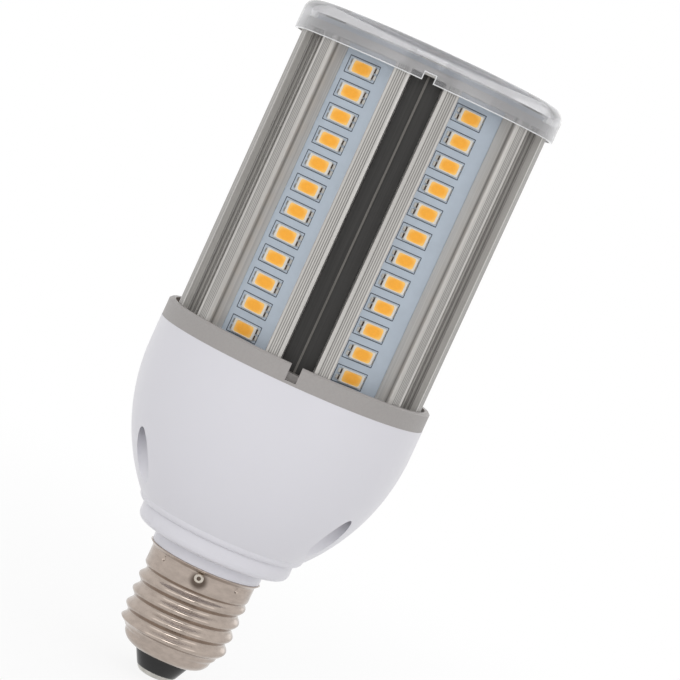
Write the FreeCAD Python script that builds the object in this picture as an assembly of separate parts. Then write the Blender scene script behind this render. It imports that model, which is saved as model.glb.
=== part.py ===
"""Corn LED bulb: a screw-cap lamp with a round heat sink that carries six strips of LEDs.

The lamp stands on its centre contact. Z is its axis, Z = 0 is the tip of the contact, and the key groove,
the front of the lamp, faces -Y. All lengths are in millimetres and all angles in degrees. An azimuth is
counted from the front, and grows towards +X.
"""
import FreeCAD, Part
import math
import os

V = FreeCAD.Vector
AXIS = V(0, 0, 1)
ACROSS = V(1, 0, 0)
OUT = V(0, -1, 0)
ORIGIN = V(0, 0, 0)

# Fits
GAP = 0.1
SLIDE_GAP = 0.2

# How far a cut runs past a face, and how near two heights count as one
CUT_PAST = 1.0
NEAR = 0.01

# Screw cap, E27
SHELL_BOTTOM = 5.2
SHELL_LENGTH = 24.2
SHELL_WALL = 0.3
SHELL_RADIUS = 12.9
SHELL_BASE_RADIUS = 10.8
SHELL_MOUTH_RADIUS = 6.9
SHELL_BEND = 3.1
SHELL_SLOPE_HEIGHT = 2.2
SHELL_FLARE = 0.9
SHELL_FLARE_HEIGHT = 0.9
THREAD_DEPTH = 0.9

# Insulator and centre contact
CONTACT_RADIUS = 3.85
CONTACT_FLAT_RADIUS = 2.0
CONTACT_DOME = 1.0
CONTACT_RIM = 0.35
CONTACT_STEM_RADIUS = 1.2
CONTACT_BULGE = 0.18
INSULATOR_TIP_RADIUS = 4.5
INSULATOR_FLANGE = 1.3
INSULATOR_FLANGE_REACH = 0.9
INSULATOR_FLANGE_SLOPE = 0.5
INSULATOR_SAG = 0.45

# Neutral pin in the shell
PIN_DROP = 2.0
PIN_RADIUS = 0.8
PIN_HOLE_RADIUS = 0.5
PIN_HEAD_RADIUS = 1.1
PIN_HEAD = 0.45
PIN_REACH = 0.6

# Housing
NECK_PROUD = 0.6
NECK_HEIGHT = 3.0
COLLAR_RADIUS = 18.95
COLLAR_HEIGHT = 4.7
COLLAR_ROUND = 1.8
COLLAR_SLOPE = 0.7
BOWL_LIP_PROUD = 1.71
BOWL_LIP_ROUND = 1.6
BOWL_HEIGHT = 40.8
BOWL_STRAIGHT = 6.5
HOUSING_PROUD = 0.07
HOUSING_WALL = 1.8
SPIGOT_LENGTH = 16.4
SPIGOT_WALL = 1.8
RAIL_LENGTH = 24.0
RAIL_WALL = 1.2
RAIL_GRIP = 1.5
CAVITY_RUNS = 4

# Housing screws and their channels
CHANNEL_COUNT = 3
CHANNEL_FIRST = 60.0
CHANNEL_INSET = 6.4
CHANNEL_RADIUS = 3.2
CHANNEL_WALL = 1.4
CHANNEL_DROP = 13.4
CHANNEL_SEAT_WALL = 2.2
SCREW_RADIUS = 1.45
SCREW_HOLE_GAP = 0.25
SCREW_HEAD_RADIUS = 2.6
SCREW_HEAD = 1.4
HOUSING_SCREW_LENGTH = 9.0

# Clamp ring
RING_WALL = 1.43
RING_HEIGHT = 4.5
RING_BEVEL = 0.4
RING_FLOOR = 2.3
RING_EAR_WALL = 1.4
RING_RIM_HEIGHT = 2.5
RING_RIM_WALL = 1.6
RING_NOTCH = 2.6
RING_NOTCH_DEPTH = 3.85
RING_NOTCH_REACH = 1.0
RING_BOSS_WALL = 1.9
RING_SCREW_LENGTH = 10.0
RING_SCREW_SPARE = 1.0

# Heat sink
PANELS = 6
SINK_RADIUS = 31.4
SINK_LENGTH = 71.5
SINK_DEPTH = 8.4
BOARD_SEAT_DEPTH = 6.65
BOARD_WIDTH = 14.4
BOARD_WALL = 1.0
LIP_OVERHANG = 0.4
CHANNEL_FLARE = 0.95
LIP_BEVEL = 0.6
GROOVE_WIDTH = 8.15
GROOVE_DEPTH = 5.0
GROOVE_TAPER = 0.28
GROOVE_RIB_DEPTHS = (3.7, 3.2, 1.9)
RIB_LINE_INSETS = (2.0, 2.5, 3.0, 3.5)
RIB_LINE_WIDTH = 0.18
RIB_LINE_DEPTH = 0.15
EDGE_LINE_INSET = 3.95
EDGE_LINE_WIDTH = 0.26
EDGE_LINE_DEPTH = 0.3
PORT_GROOVES = (0, 2, 4)
PORT_INSET = 8.2
PORT_GAP = 0.05
PORT_WALL = 1.6
STRIP_WALL = 0.8
STRIP_RIB_WIDTH = 0.5
STRIP_RIB = 0.5

# LED packages
LED_LENGTH = 6.3
LED_WIDTH = 3.23
LED_HEIGHT = 0.75
LED_RIM = 0.25
LED_END_RIM = 0.65
LED_POCKET = 0.12
LED_SHIFT = -1.07
LEDS_PER_STRIP = 12
LED_START = 3.86
LED_STOP = 4.47

# Top end
END_PLATE_INSET = 0.7
END_PLATE_WALL = 1.85
END_PLATE_HOLE = 4.0
TOP_BOARD_INSET = 2.3
TOP_BOARD_WALL = 1.2
TOP_LED_COUNT = 6
TOP_LED_INSET = 11.4
TOP_SCREW_LENGTH = 12.0
CONNECTOR_GROOVES = (1, 3, 5)
CONNECTOR_INSET = 1.5
CONNECTOR_WIDTH = 6.4
CONNECTOR_SLOT = 2.8
CONNECTOR_DEPTH = 1.6
CONNECTOR_BASE = 0.4
CONNECTOR_HEIGHT = 1.4

# Lens cover
LENS_SKIRT_GAP = 0.2
LENS_SKIRT_WALL = 0.75
LENS_SKIRT_OVERLAP = 1.4
LENS_ROOM = 1.535
LENS_DOME_RADIUS = 211.0
LENS_SHOULDER = 2.7
LENS_INNER_SHOULDER = 1.2
LENS_WALL = 1.8
LENS_STEP = 1.4
LENS_NOTCH = 2.6
LENS_NOTCH_HEIGHT = 1.85

# Driver, on which heights are counted from the board's lower edge
DRIVER_WIDTH = 36.0
DRIVER_SIDE_GAP = 3.6
DRIVER_FOOT_GAP = 7.7
DRIVER_LENGTH = 58.0
DRIVER_WALL = 1.6
CORE_WIDTH = 16.0
CORE_LENGTH = 14.0
CORE_DEPTH = 5.0
CORE_LEG = 3.0
CORE_HEIGHT = 27.0
WINDING_DEPTH = 13.0
WINDING_STANDOFF = 1.5
INPUT_CAP_RADIUS = 5.0
INPUT_CAP_LENGTH = 11.5
INPUT_CAP_PLACE = (8.9, 13.9)
OUTPUT_CAP_RADIUS = 6.3
OUTPUT_CAP_LENGTH = 16.0
OUTPUT_CAP_PLACE = (0.0, 44.0)
CHOKE_RADIUS = 4.5
CHOKE_HEIGHT = 7.0
CHOKE_FLANGE = 1.2
CHOKE_WAIST_DEPTH = 0.7
CHOKE_PLACE = (-9.5, 13.5)
RECTIFIER_SIZE = (5.0, 2.6, 6.4)
RECTIFIER_PLACE = (-1.6, 12.0)
CONTROLLER_SIZE = (6.0, 1.6, 4.9)
CONTROLLER_PLACE = (12.5, 27.0)
FUSE_RADIUS = 1.7
FUSE_LENGTH = 7.0
FUSE_PLACE = (-11.5, 4.5)
VARISTOR_RADIUS = 3.5
VARISTOR_WALL = 3.2
VARISTOR_PLACE = (12.0, 4.2)
CAP_GROOVE = 0.35

# Lead wires
WIRE_RADIUS = 0.75
WIRE_BEND_SHARE = 0.45
LEAD_SPREAD = 4.0
LEAD_RISE = 3.5
LEAD_DROP = 12.0
CONTACT_LEAD_RISE = 11.0
PIN_LEAD_RISE = 8.0
OUTPUT_LEAD_GRIP = 3.0
OUTPUT_LEAD_SPREAD = 1.5

# Radii and places that follow from the heat sink
PANEL_PITCH = 360.0 / PANELS
SINK_BORE = SINK_RADIUS - SINK_DEPTH
BOARD_SEAT = SINK_RADIUS - BOARD_SEAT_DEPTH
BOARD_FACE = BOARD_SEAT + BOARD_WALL
GROOVE_FLOOR = SINK_RADIUS - GROOVE_DEPTH
STRIP_FACE = GROOVE_FLOOR + STRIP_WALL
PORT_PLACE = SINK_RADIUS - PORT_INSET
PORT_RADIUS = SCREW_RADIUS + PORT_GAP
SCREW_HOLE = SCREW_RADIUS + SCREW_HOLE_GAP
RING_INNER = SINK_RADIUS + GAP
RING_RADIUS = RING_INNER + RING_WALL
RING_BORE = DRIVER_WIDTH / 2 + DRIVER_SIDE_GAP
HOUSING_RADIUS = RING_RADIUS + HOUSING_PROUD
HOUSING_INNER = HOUSING_RADIUS - HOUSING_WALL
CHANNEL_PLACE = HOUSING_RADIUS - CHANNEL_INSET
END_PLATE_RADIUS = SINK_RADIUS - END_PLATE_INSET
TOP_BOARD_RADIUS = END_PLATE_RADIUS - TOP_BOARD_INSET
TOP_LED_PLACE = TOP_BOARD_RADIUS - TOP_LED_INSET
CONNECTOR_PLACE = TOP_BOARD_RADIUS - CONNECTOR_INSET
LENS_SKIRT_RADIUS = SINK_RADIUS + LENS_SKIRT_GAP
LENS_RADIUS = LENS_SKIRT_RADIUS + LENS_SKIRT_WALL
LENS_ROOM_RADIUS = END_PLATE_RADIUS - LENS_STEP
LENS_SAG = LENS_DOME_RADIUS - math.sqrt(LENS_DOME_RADIUS ** 2 - LENS_ROOM_RADIUS ** 2)
DRIVER_FACE = -DRIVER_WALL / 2

# Radii that follow from the screw cap and the collar
THREAD_ROOT_RADIUS = SHELL_RADIUS - THREAD_DEPTH
SPIGOT_RADIUS = THREAD_ROOT_RADIUS - SHELL_WALL - GAP
SPIGOT_BORE = SPIGOT_RADIUS - SPIGOT_WALL
NECK_RADIUS = SHELL_RADIUS + NECK_PROUD
COLLAR_BORE = COLLAR_RADIUS - HOUSING_WALL
BOWL_LIP_RADIUS = COLLAR_RADIUS + BOWL_LIP_PROUD

# Heights, from the contact up
INSULATOR_BOTTOM = CONTACT_DOME + CONTACT_RIM
FLANGE_BOTTOM = SHELL_BOTTOM + SHELL_WALL + GAP
FLANGE_TOP = FLANGE_BOTTOM + INSULATOR_FLANGE
SHELL_TOP = SHELL_BOTTOM + SHELL_LENGTH
PIN_HEIGHT = SHELL_TOP - PIN_DROP
SPIGOT_BOTTOM = SHELL_TOP - SPIGOT_LENGTH
NECK_BOTTOM = SHELL_TOP + GAP
COLLAR_BOTTOM = NECK_BOTTOM + NECK_HEIGHT
CAVITY_FLOOR = COLLAR_BOTTOM + HOUSING_WALL
BOWL_LIP_BOTTOM = COLLAR_BOTTOM + COLLAR_HEIGHT
BOWL_LIP_TOP = BOWL_LIP_BOTTOM + BOWL_LIP_ROUND
HOUSING_TOP = BOWL_LIP_BOTTOM + BOWL_HEIGHT
BOWL_TOP = HOUSING_TOP - BOWL_STRAIGHT
CHANNEL_SEAT = HOUSING_TOP - CHANNEL_DROP
CHANNEL_SEAT_TOP = CHANNEL_SEAT + CHANNEL_SEAT_WALL
DRIVER_BOTTOM = CAVITY_FLOOR + DRIVER_FOOT_GAP
DRIVER_TOP = DRIVER_BOTTOM + DRIVER_LENGTH
RAIL_TOP = DRIVER_BOTTOM + RAIL_LENGTH
CORE_CENTRE = DRIVER_BOTTOM + CORE_HEIGHT
LEAD_START = DRIVER_BOTTOM + LEAD_RISE
RING_TOP = HOUSING_TOP + RING_HEIGHT
SINK_BOTTOM = HOUSING_TOP + RING_FLOOR
LED_FIRST = SINK_BOTTOM + LED_START
LED_PITCH = (SINK_LENGTH - LED_START - LED_STOP) / (LEDS_PER_STRIP - 1)
SINK_TOP = SINK_BOTTOM + SINK_LENGTH
PLATE_TOP = SINK_TOP + END_PLATE_WALL
TOP_BOARD_FACE = PLATE_TOP + TOP_BOARD_WALL
LENS_SKIRT_BOTTOM = SINK_TOP - LENS_SKIRT_OVERLAP
LENS_SHOULDER_CEILING = TOP_BOARD_FACE + LENS_ROOM
LENS_CEILING = LENS_SHOULDER_CEILING + LENS_SAG
LENS_TOP = LENS_CEILING + LENS_WALL

# The bowl's side: an arc that is upright at its top and ends at its lip
BOWL_DROP = BOWL_TOP - BOWL_LIP_TOP
BOWL_DRAW_IN = HOUSING_RADIUS - BOWL_LIP_RADIUS
BOWL_ARC = (BOWL_DROP ** 2 + BOWL_DRAW_IN ** 2) / (2 * BOWL_DRAW_IN)


def point(azimuth, radius, z=0.0):
    """A point at an azimuth and a distance from the axis."""
    angle = math.radians(azimuth)
    return V(radius * math.sin(angle), -radius * math.cos(angle), z)


def turned(shape, azimuth):
    """A copy of a shape that faces the front, turned to an azimuth."""
    copy = shape.copy()
    copy.rotate(ORIGIN, AXIS, azimuth)
    return copy


def disc(radius, bottom, top, place=ORIGIN):
    """An upright cylinder."""
    return Part.makeCylinder(radius, top - bottom, V(place.x, place.y, bottom))


def tube(outer, inner, bottom, top, place=ORIGIN):
    """An upright tube."""
    return disc(outer, bottom, top, place).cut(disc(inner, bottom, top, place))


def block(x0, x1, y0, y1, z0, z1):
    """A box between two values on each axis."""
    return Part.makeBox(x1 - x0, y1 - y0, z1 - z0, V(x0, y0, z0))


def line(a, b):
    """A straight edge between two points of the XZ plane."""
    return Part.LineSegment(V(a[0], 0, a[1]), V(b[0], 0, b[1])).toShape()


def arc(a, middle, b):
    """A circular edge through three points of the XZ plane."""
    return Part.Arc(V(a[0], 0, a[1]), V(middle[0], 0, middle[1]), V(b[0], 0, b[1])).toShape()


def arc_about(centre, radius, start, end):
    """A circular edge of the XZ plane about a centre, between two angles from +X."""
    angles = (math.radians(start), math.radians((start + end) / 2), math.radians(end))
    places = [(centre[0] + radius * math.cos(a), centre[1] + radius * math.sin(a)) for a in angles]
    return arc(*places)


def spun(edges):
    """The solid that a closed outline of the XZ plane makes as it turns about the axis."""
    return Part.Face(Part.Wire(edges)).revolve(ORIGIN, AXIS, 360)


def section(points):
    """A flat face at Z = 0 with straight sides."""
    corners = [V(x, y, 0) for x, y in points]
    return Part.Face(Part.makePolygon(corners + corners[:1]))


def round_section(radius, place=ORIGIN):
    """A flat round face at Z = 0."""
    return Part.Face(Part.Wire(Part.Circle(place, AXIS, radius).toShape()))


def rims(shape):
    """The round edges of a shape."""
    return [e for e in shape.Edges if e.Curve.TypeId == "Part::GeomCircle"]


def quarter_round(start, radius):
    """A quarter circle from a point of an upright side, down and inwards to the face below."""
    share = 1 - math.sqrt(0.5)
    end = (start[0] - radius, start[1] - radius)
    return arc(start, (start[0] - radius * share, end[1] + radius * share), end)


def pan_screw(place, seat, length, upward):
    """A pan-head screw whose head bears on the height seat, with its shank up or down from there."""
    way = 1 if upward else -1
    head_end = seat - way * SCREW_HEAD
    shank_end = seat + way * length
    head = disc(SCREW_HEAD_RADIUS, min(seat, head_end), max(seat, head_end), place)
    head = head.makeChamfer(SCREW_HEAD / 3, [e for e in rims(head) if abs(e.BoundBox.ZMin - head_end) < NEAR])
    shank = disc(SCREW_RADIUS, min(seat, shank_end), max(seat, shank_end), place)
    return head.fuse(shank).removeSplitter()


def wire_tube(points, radius):
    """A wire along straight runs that tangent arcs join, each as wide as its runs allow."""
    edges = []
    start = points[0]
    for before, corner, after in zip(points, points[1:], points[2:]):
        arriving = (corner - before).normalize()
        leaving = (after - corner).normalize()
        turn = arriving.getAngle(leaving)
        reach = WIRE_BEND_SHARE * min((corner - before).Length, (after - corner).Length)
        bend = reach / math.tan(turn / 2)
        inward = (leaving - arriving).normalize()
        sagitta = bend / math.cos(turn / 2) - bend
        entry = corner - arriving * reach
        leave = corner + leaving * reach
        edges.append(Part.LineSegment(start, entry).toShape())
        edges.append(Part.Arc(entry, corner + inward * sagitta, leave).toShape())
        start = leave
    edges.append(Part.LineSegment(start, points[-1]).toShape())
    path = Part.Wire(edges)
    ring = Part.Wire(Part.Circle(points[0], points[1] - points[0], radius).toShape())
    return path.makePipeShell([ring], True, False)


# Screw cap

def shell_outline(inset):
    """The shell's section from its mouth up to its flared rim, moved inwards by inset."""
    base = SHELL_BASE_RADIUS - inset
    mouth = (SHELL_MOUTH_RADIUS, SHELL_BOTTOM + inset)
    bend_end = (base, SHELL_BOTTOM + SHELL_BEND)
    share = math.sqrt(0.5)
    bend_middle = (mouth[0] + (base - mouth[0]) * share, bend_end[1] - (SHELL_BEND - inset) * share)
    body_start = (SHELL_RADIUS - inset, bend_end[1] + SHELL_SLOPE_HEIGHT)
    flare_start = (SHELL_RADIUS - inset, SHELL_TOP - SHELL_FLARE_HEIGHT)
    rim = (SHELL_RADIUS + SHELL_FLARE - inset, SHELL_TOP)
    return mouth, bend_middle, bend_end, body_start, flare_start, rim


def screw_shell():
    """The thin drawn shell of the cap: rolled bottom, threaded body (drawn plain here) and flared rim."""
    sides = []
    for inset in (0.0, SHELL_WALL):
        mouth, bend_middle, *corners = shell_outline(inset)
        side = [arc(mouth, bend_middle, corners[0])]
        side.extend(line(a, b) for a, b in zip(corners, corners[1:]))
        sides.append((mouth, corners[-1], side))
    (outer_mouth, outer_rim, outer), (inner_mouth, inner_rim, inner) = sides
    shell = spun(outer + [line(outer_rim, inner_rim)] + inner[::-1] + [line(inner_mouth, outer_mouth)])
    hole = Part.makeCylinder(PIN_RADIUS + GAP / 2, SHELL_RADIUS, V(0, -SPIGOT_BORE, PIN_HEIGHT), OUT)
    return shell.cut(hole)


def shell_pin():
    """The tubular rivet that carries the neutral wire through neck and shell."""
    outer_face = SHELL_RADIUS + PIN_HEAD
    inner_end = SPIGOT_BORE - PIN_REACH
    shank = Part.makeCylinder(PIN_RADIUS, outer_face - inner_end, V(0, -inner_end, PIN_HEIGHT), OUT)
    seat = SHELL_RADIUS + GAP / 4
    head = Part.makeCylinder(PIN_HEAD_RADIUS, outer_face - seat, V(0, -seat, PIN_HEIGHT), OUT)
    head = head.makeChamfer(PIN_HEAD / 3, [e for e in rims(head) if abs(e.BoundBox.YMin + outer_face) < NEAR])
    bore = Part.makeCylinder(PIN_HOLE_RADIUS, outer_face - inner_end, V(0, -SPIGOT_BORE, PIN_HEIGHT), OUT)
    return shank.fuse(head).cut(bore).removeSplitter()


def insulator():
    """The black insulator: a curved cone below the shell, and a flange seated in the shell's bottom."""
    neck = SHELL_MOUTH_RADIUS - SHELL_WALL - GAP
    tip = (INSULATOR_TIP_RADIUS, INSULATOR_BOTTOM)
    shoulder = (SHELL_MOUTH_RADIUS, SHELL_BOTTOM - GAP)
    middle = ((tip[0] + shoulder[0]) / 2 + INSULATOR_SAG, (tip[1] + shoulder[1]) / 2 - INSULATOR_SAG)
    stem = CONTACT_STEM_RADIUS + GAP / 2
    flange = neck + INSULATOR_FLANGE_REACH
    flange_slope = FLANGE_BOTTOM + INSULATOR_FLANGE_SLOPE
    return spun([
        line((stem, tip[1]), tip),
        arc(tip, middle, shoulder),
        line(shoulder, (neck, shoulder[1])),
        line((neck, shoulder[1]), (neck, FLANGE_BOTTOM)),
        line((neck, FLANGE_BOTTOM), (flange, flange_slope)),
        line((flange, flange_slope), (flange, FLANGE_TOP)),
        line((flange, FLANGE_TOP), (stem, FLANGE_TOP)),
        line((stem, FLANGE_TOP), (stem, tip[1])),
    ])


def centre_contact():
    """The domed centre contact with a small flat at its tip and a stem through the insulator."""
    rim = (CONTACT_RADIUS, CONTACT_DOME)
    flat = (CONTACT_FLAT_RADIUS, 0.0)
    middle = ((rim[0] + flat[0]) / 2 + CONTACT_BULGE, CONTACT_DOME / 2 - CONTACT_BULGE)
    top = (CONTACT_RADIUS, INSULATOR_BOTTOM)
    stem = (CONTACT_STEM_RADIUS, INSULATOR_BOTTOM)
    stem_top = (CONTACT_STEM_RADIUS, FLANGE_TOP)
    return spun([
        line((0, 0), flat),
        arc(flat, middle, rim),
        line(rim, top),
        line(top, stem),
        line(stem, stem_top),
        line(stem_top, (0, FLANGE_TOP)),
        line((0, FLANGE_TOP), (0, 0)),
    ])


# Housing and ring

def bowl_radius(z, inset=0.0):
    """The radius of the bowl's round side at a height below its top."""
    return HOUSING_RADIUS - BOWL_ARC + math.sqrt((BOWL_ARC - inset) ** 2 - (BOWL_TOP - z) ** 2)


def bowl_height(radius, inset=0.0):
    """The height at which the bowl's round side has a radius."""
    return BOWL_TOP - math.sqrt((BOWL_ARC - inset) ** 2 - (radius - HOUSING_RADIUS + BOWL_ARC) ** 2)


def bowl_edge(z):
    """The arc of the bowl's side, from its widest place down to z."""
    middle = (BOWL_TOP + z) / 2
    return arc((HOUSING_RADIUS, BOWL_TOP), (bowl_radius(middle), middle), (bowl_radius(z), z))


def housing_skin():
    """The outside of the housing as one turned solid."""
    lip_end = (BOWL_LIP_RADIUS - BOWL_LIP_ROUND, BOWL_LIP_BOTTOM)
    corner_top = (COLLAR_RADIUS, COLLAR_BOTTOM + COLLAR_ROUND + COLLAR_SLOPE / 2)
    corner_end = (COLLAR_RADIUS - COLLAR_ROUND, COLLAR_BOTTOM + COLLAR_SLOPE / 2)
    neck_top = (NECK_RADIUS, COLLAR_BOTTOM - COLLAR_SLOPE / 2)
    neck_end = (NECK_RADIUS, NECK_BOTTOM)
    shelf = (SPIGOT_RADIUS, NECK_BOTTOM)
    return spun([
        line((0, HOUSING_TOP), (HOUSING_RADIUS, HOUSING_TOP)),
        line((HOUSING_RADIUS, HOUSING_TOP), (HOUSING_RADIUS, BOWL_TOP)),
        bowl_edge(BOWL_LIP_TOP),
        quarter_round((BOWL_LIP_RADIUS, BOWL_LIP_TOP), BOWL_LIP_ROUND),
        line(lip_end, (COLLAR_RADIUS, BOWL_LIP_BOTTOM)),
        line((COLLAR_RADIUS, BOWL_LIP_BOTTOM), corner_top),
        quarter_round(corner_top, COLLAR_ROUND),
        line(corner_end, neck_top),
        line(neck_top, neck_end),
        line(neck_end, shelf),
        line(shelf, (SPIGOT_RADIUS, SPIGOT_BOTTOM)),
        line((SPIGOT_RADIUS, SPIGOT_BOTTOM), (0, SPIGOT_BOTTOM)),
        line((0, SPIGOT_BOTTOM), (0, HOUSING_TOP)),
    ])


def housing_cavity():
    """The hollow of the housing as one turned solid: straight runs follow the bowl a wall further in."""
    bowl_end = bowl_height(COLLAR_BORE, HOUSING_WALL)
    heights = [BOWL_TOP + (bowl_end - BOWL_TOP) * i / CAVITY_RUNS for i in range(CAVITY_RUNS + 1)]
    side = [(bowl_radius(z, HOUSING_WALL), z) for z in heights]
    corners = [(0, HOUSING_TOP), (HOUSING_INNER, HOUSING_TOP)] + side
    corners += [(COLLAR_BORE, CAVITY_FLOOR), (SPIGOT_BORE, CAVITY_FLOOR), (SPIGOT_BORE, SPIGOT_BOTTOM),
                (0, SPIGOT_BOTTOM)]
    return spun([line(a, b) for a, b in zip(corners, corners[1:] + corners[:1])])


def channel_azimuths():
    """The azimuths of the screw channels."""
    return [CHANNEL_FIRST + 360.0 / CHANNEL_COUNT * i for i in range(CHANNEL_COUNT)]


def housing():
    """The moulded housing: bowl, collar, neck, screw channels and the two rails of the driver board."""
    skin = housing_skin()
    cavity = housing_cavity()
    inside = []
    cuts = []
    for azimuth in channel_azimuths():
        place = point(azimuth, CHANNEL_PLACE)
        inside.append(disc(CHANNEL_RADIUS + CHANNEL_WALL, SPIGOT_BOTTOM, CHANNEL_SEAT_TOP, place))
        cuts.append(disc(CHANNEL_RADIUS, SPIGOT_BOTTOM, CHANNEL_SEAT, place))
        cuts.append(disc(SCREW_HOLE, CHANNEL_SEAT, CHANNEL_SEAT_TOP, place))
    cuts.append(Part.makeCylinder(PIN_RADIUS + GAP / 2, NECK_RADIUS, V(0, 0, PIN_HEIGHT), OUT))
    half = DRIVER_WALL / 2 + SLIDE_GAP / 2
    tip = DRIVER_WIDTH / 2 - RAIL_GRIP
    for side in (-1, 1):
        x0, x1 = sorted((side * tip, side * HOUSING_RADIUS))
        slot0, slot1 = sorted((side * (tip - CUT_PAST), side * (DRIVER_WIDTH / 2 + SLIDE_GAP / 2)))
        rail = block(x0, x1, -half - RAIL_WALL, half + RAIL_WALL, DRIVER_BOTTOM - HOUSING_WALL, RAIL_TOP)
        inside.append(rail.cut(block(slot0, slot1, -half, half, DRIVER_BOTTOM, RAIL_TOP)))
    kept = [solid for shape in inside for solid in shape.common(cavity).Solids]
    return skin.cut(cavity).fuse(kept).cut(cuts).removeSplitter()


def clamp_ring():
    """The grey ring between housing and heat sink: wall, key notch, floor with ears, rim and screw bosses."""
    wall = disc(RING_RADIUS, HOUSING_TOP, RING_TOP)
    wall = wall.makeChamfer(RING_BEVEL, [e for e in rims(wall) if e.BoundBox.ZMin > RING_TOP - NEAR])
    wall = wall.cut(disc(RING_INNER, SINK_BOTTOM, RING_TOP))
    rim_outer = HOUSING_INNER - GAP
    rim = tube(rim_outer, rim_outer - RING_RIM_WALL, HOUSING_TOP - RING_RIM_HEIGHT, HOUSING_TOP)
    boss_bottom = CHANNEL_SEAT_TOP + GAP
    hole_top = CHANNEL_SEAT + HOUSING_SCREW_LENGTH + RING_SCREW_SPARE
    bosses = []
    wall = wall.cut(disc(RING_BORE, HOUSING_TOP, SINK_BOTTOM))
    ears = [disc(SCREW_HOLE + RING_EAR_WALL, HOUSING_TOP, SINK_BOTTOM, place) for place in port_places()]
    cuts = []
    for azimuth in channel_azimuths():
        place = point(azimuth, CHANNEL_PLACE)
        bosses.append(disc(SCREW_RADIUS + RING_BOSS_WALL, boss_bottom, HOUSING_TOP, place))
        cuts.append(disc(PORT_RADIUS, boss_bottom, hole_top, place))
    for place in port_places():
        cuts.append(disc(SCREW_HOLE, HOUSING_TOP, SINK_BOTTOM, place))
    half = RING_NOTCH / 2
    notch_end = RING_INNER - RING_NOTCH_REACH
    cuts.append(block(-half, half, -HOUSING_RADIUS, -notch_end, RING_TOP - RING_NOTCH_DEPTH, RING_TOP))
    return wall.fuse([rim] + ears + bosses).cut(cuts).removeSplitter()


def channel_screws():
    """The screws that pull the housing up to the ring."""
    return [pan_screw(point(azimuth, CHANNEL_PLACE), CHANNEL_SEAT, HOUSING_SCREW_LENGTH, True)
            for azimuth in channel_azimuths()]


# Heat sink

def port_places():
    """The centres of the screw ports, behind some of the grooves."""
    return [point(groove_azimuth(i), PORT_PLACE) for i in PORT_GROOVES]


def panel_azimuth(i):
    """The azimuth that panel i faces."""
    return PANEL_PITCH * (i + 0.5)


def groove_azimuth(i):
    """The azimuth of the groove before panel i."""
    return panel_azimuth(i) - PANEL_PITCH / 2


def channel_section():
    """The channel of a strip board: slot, retaining lips, flared walls and their bevels."""
    slot = BOARD_WIDTH / 2 + GAP
    lip = BOARD_WIDTH / 2 - LIP_OVERHANG
    lip_bottom = BOARD_FACE + GAP
    mouth = BOARD_WIDTH / 2 + CHANNEL_FLARE
    face = math.sqrt(SINK_RADIUS ** 2 - mouth ** 2)
    half = [(slot, BOARD_SEAT), (slot, lip_bottom), (lip, lip_bottom), (mouth, face - LIP_BEVEL),
            (mouth + LIP_BEVEL, face), (mouth + LIP_BEVEL, SINK_RADIUS + CUT_PAST)]
    mirrored = [(-s, n) for s, n in reversed(half)]
    return section([(s, -n) for s, n in half + mirrored])


def line_section(side, inset, width, depth):
    """A fine line cut in a lip's round face beyond the board's edge, on one side of the panel."""
    place = side * (BOARD_WIDTH / 2 + inset)
    face = math.sqrt(SINK_RADIUS ** 2 - place ** 2)
    out = -face - CUT_PAST
    return section([(place - width / 2, out), (place + width / 2, out), (place, -face + depth)])


def groove_half_width(distance):
    """Half of the groove's width at a distance from the axis: the groove narrows inwards."""
    share = (SINK_RADIUS - distance) / (SINK_RADIUS - STRIP_FACE)
    return GROOVE_WIDTH / 2 - GROOVE_TAPER * share


def groove_section():
    """A deep groove between two panels, with ribbed walls and a seat for its black strip."""
    seat = groove_half_width(STRIP_FACE)
    half = [(seat, GROOVE_FLOOR), (seat, STRIP_FACE)]
    for depth in GROOVE_RIB_DEPTHS:
        place = SINK_RADIUS - depth
        width = groove_half_width(place)
        half.append((width, place - RIB_LINE_WIDTH))
        half.append((width + RIB_LINE_DEPTH, place))
        half.append((width, place + RIB_LINE_WIDTH))
    out = SINK_RADIUS + CUT_PAST
    half.append((groove_half_width(out), out))
    mirrored = [(-s, n) for s, n in reversed(half)]
    return section([(s, -n) for s, n in half + mirrored])


def heat_sink():
    """The extruded heat sink."""
    outer = round_section(SINK_RADIUS)
    bore = round_section(SINK_BORE)
    cuts = []
    for i in range(PANELS):
        azimuth = panel_azimuth(i)
        cuts.append(turned(channel_section(), azimuth))
        cuts.append(turned(groove_section(), groove_azimuth(i)))
        for side in (-1, 1):
            lines = [line_section(side, inset, RIB_LINE_WIDTH, RIB_LINE_DEPTH) for inset in RIB_LINE_INSETS]
            lines.append(line_section(side, EDGE_LINE_INSET, EDGE_LINE_WIDTH, EDGE_LINE_DEPTH))
            cuts.extend(turned(section, azimuth) for section in lines)
    profile = outer.cut(bore).cut(cuts)
    bosses = [round_section(PORT_RADIUS + PORT_WALL, place) for place in port_places()]
    holes = [round_section(PORT_RADIUS, place) for place in port_places()]
    profile = profile.fuse(bosses).removeSplitter().cut(holes)
    body = profile.Faces[0].extrude(V(0, 0, SINK_LENGTH))
    body.translate(V(0, 0, SINK_BOTTOM))
    return body


def groove_strip(azimuth):
    """A black strip in a groove's floor, with its fine centre rib."""
    half = groove_half_width(STRIP_FACE) - GAP
    rib = STRIP_RIB_WIDTH / 2
    right = [(half, GROOVE_FLOOR), (half, STRIP_FACE), (rib, STRIP_FACE), (rib, STRIP_FACE + STRIP_RIB)]
    left = [(-s, n) for s, n in reversed(right)]
    body = section([(s, -n) for s, n in right + left]).extrude(V(0, 0, SINK_LENGTH))
    body.translate(V(0, 0, SINK_BOTTOM))
    return turned(body, azimuth)


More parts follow.
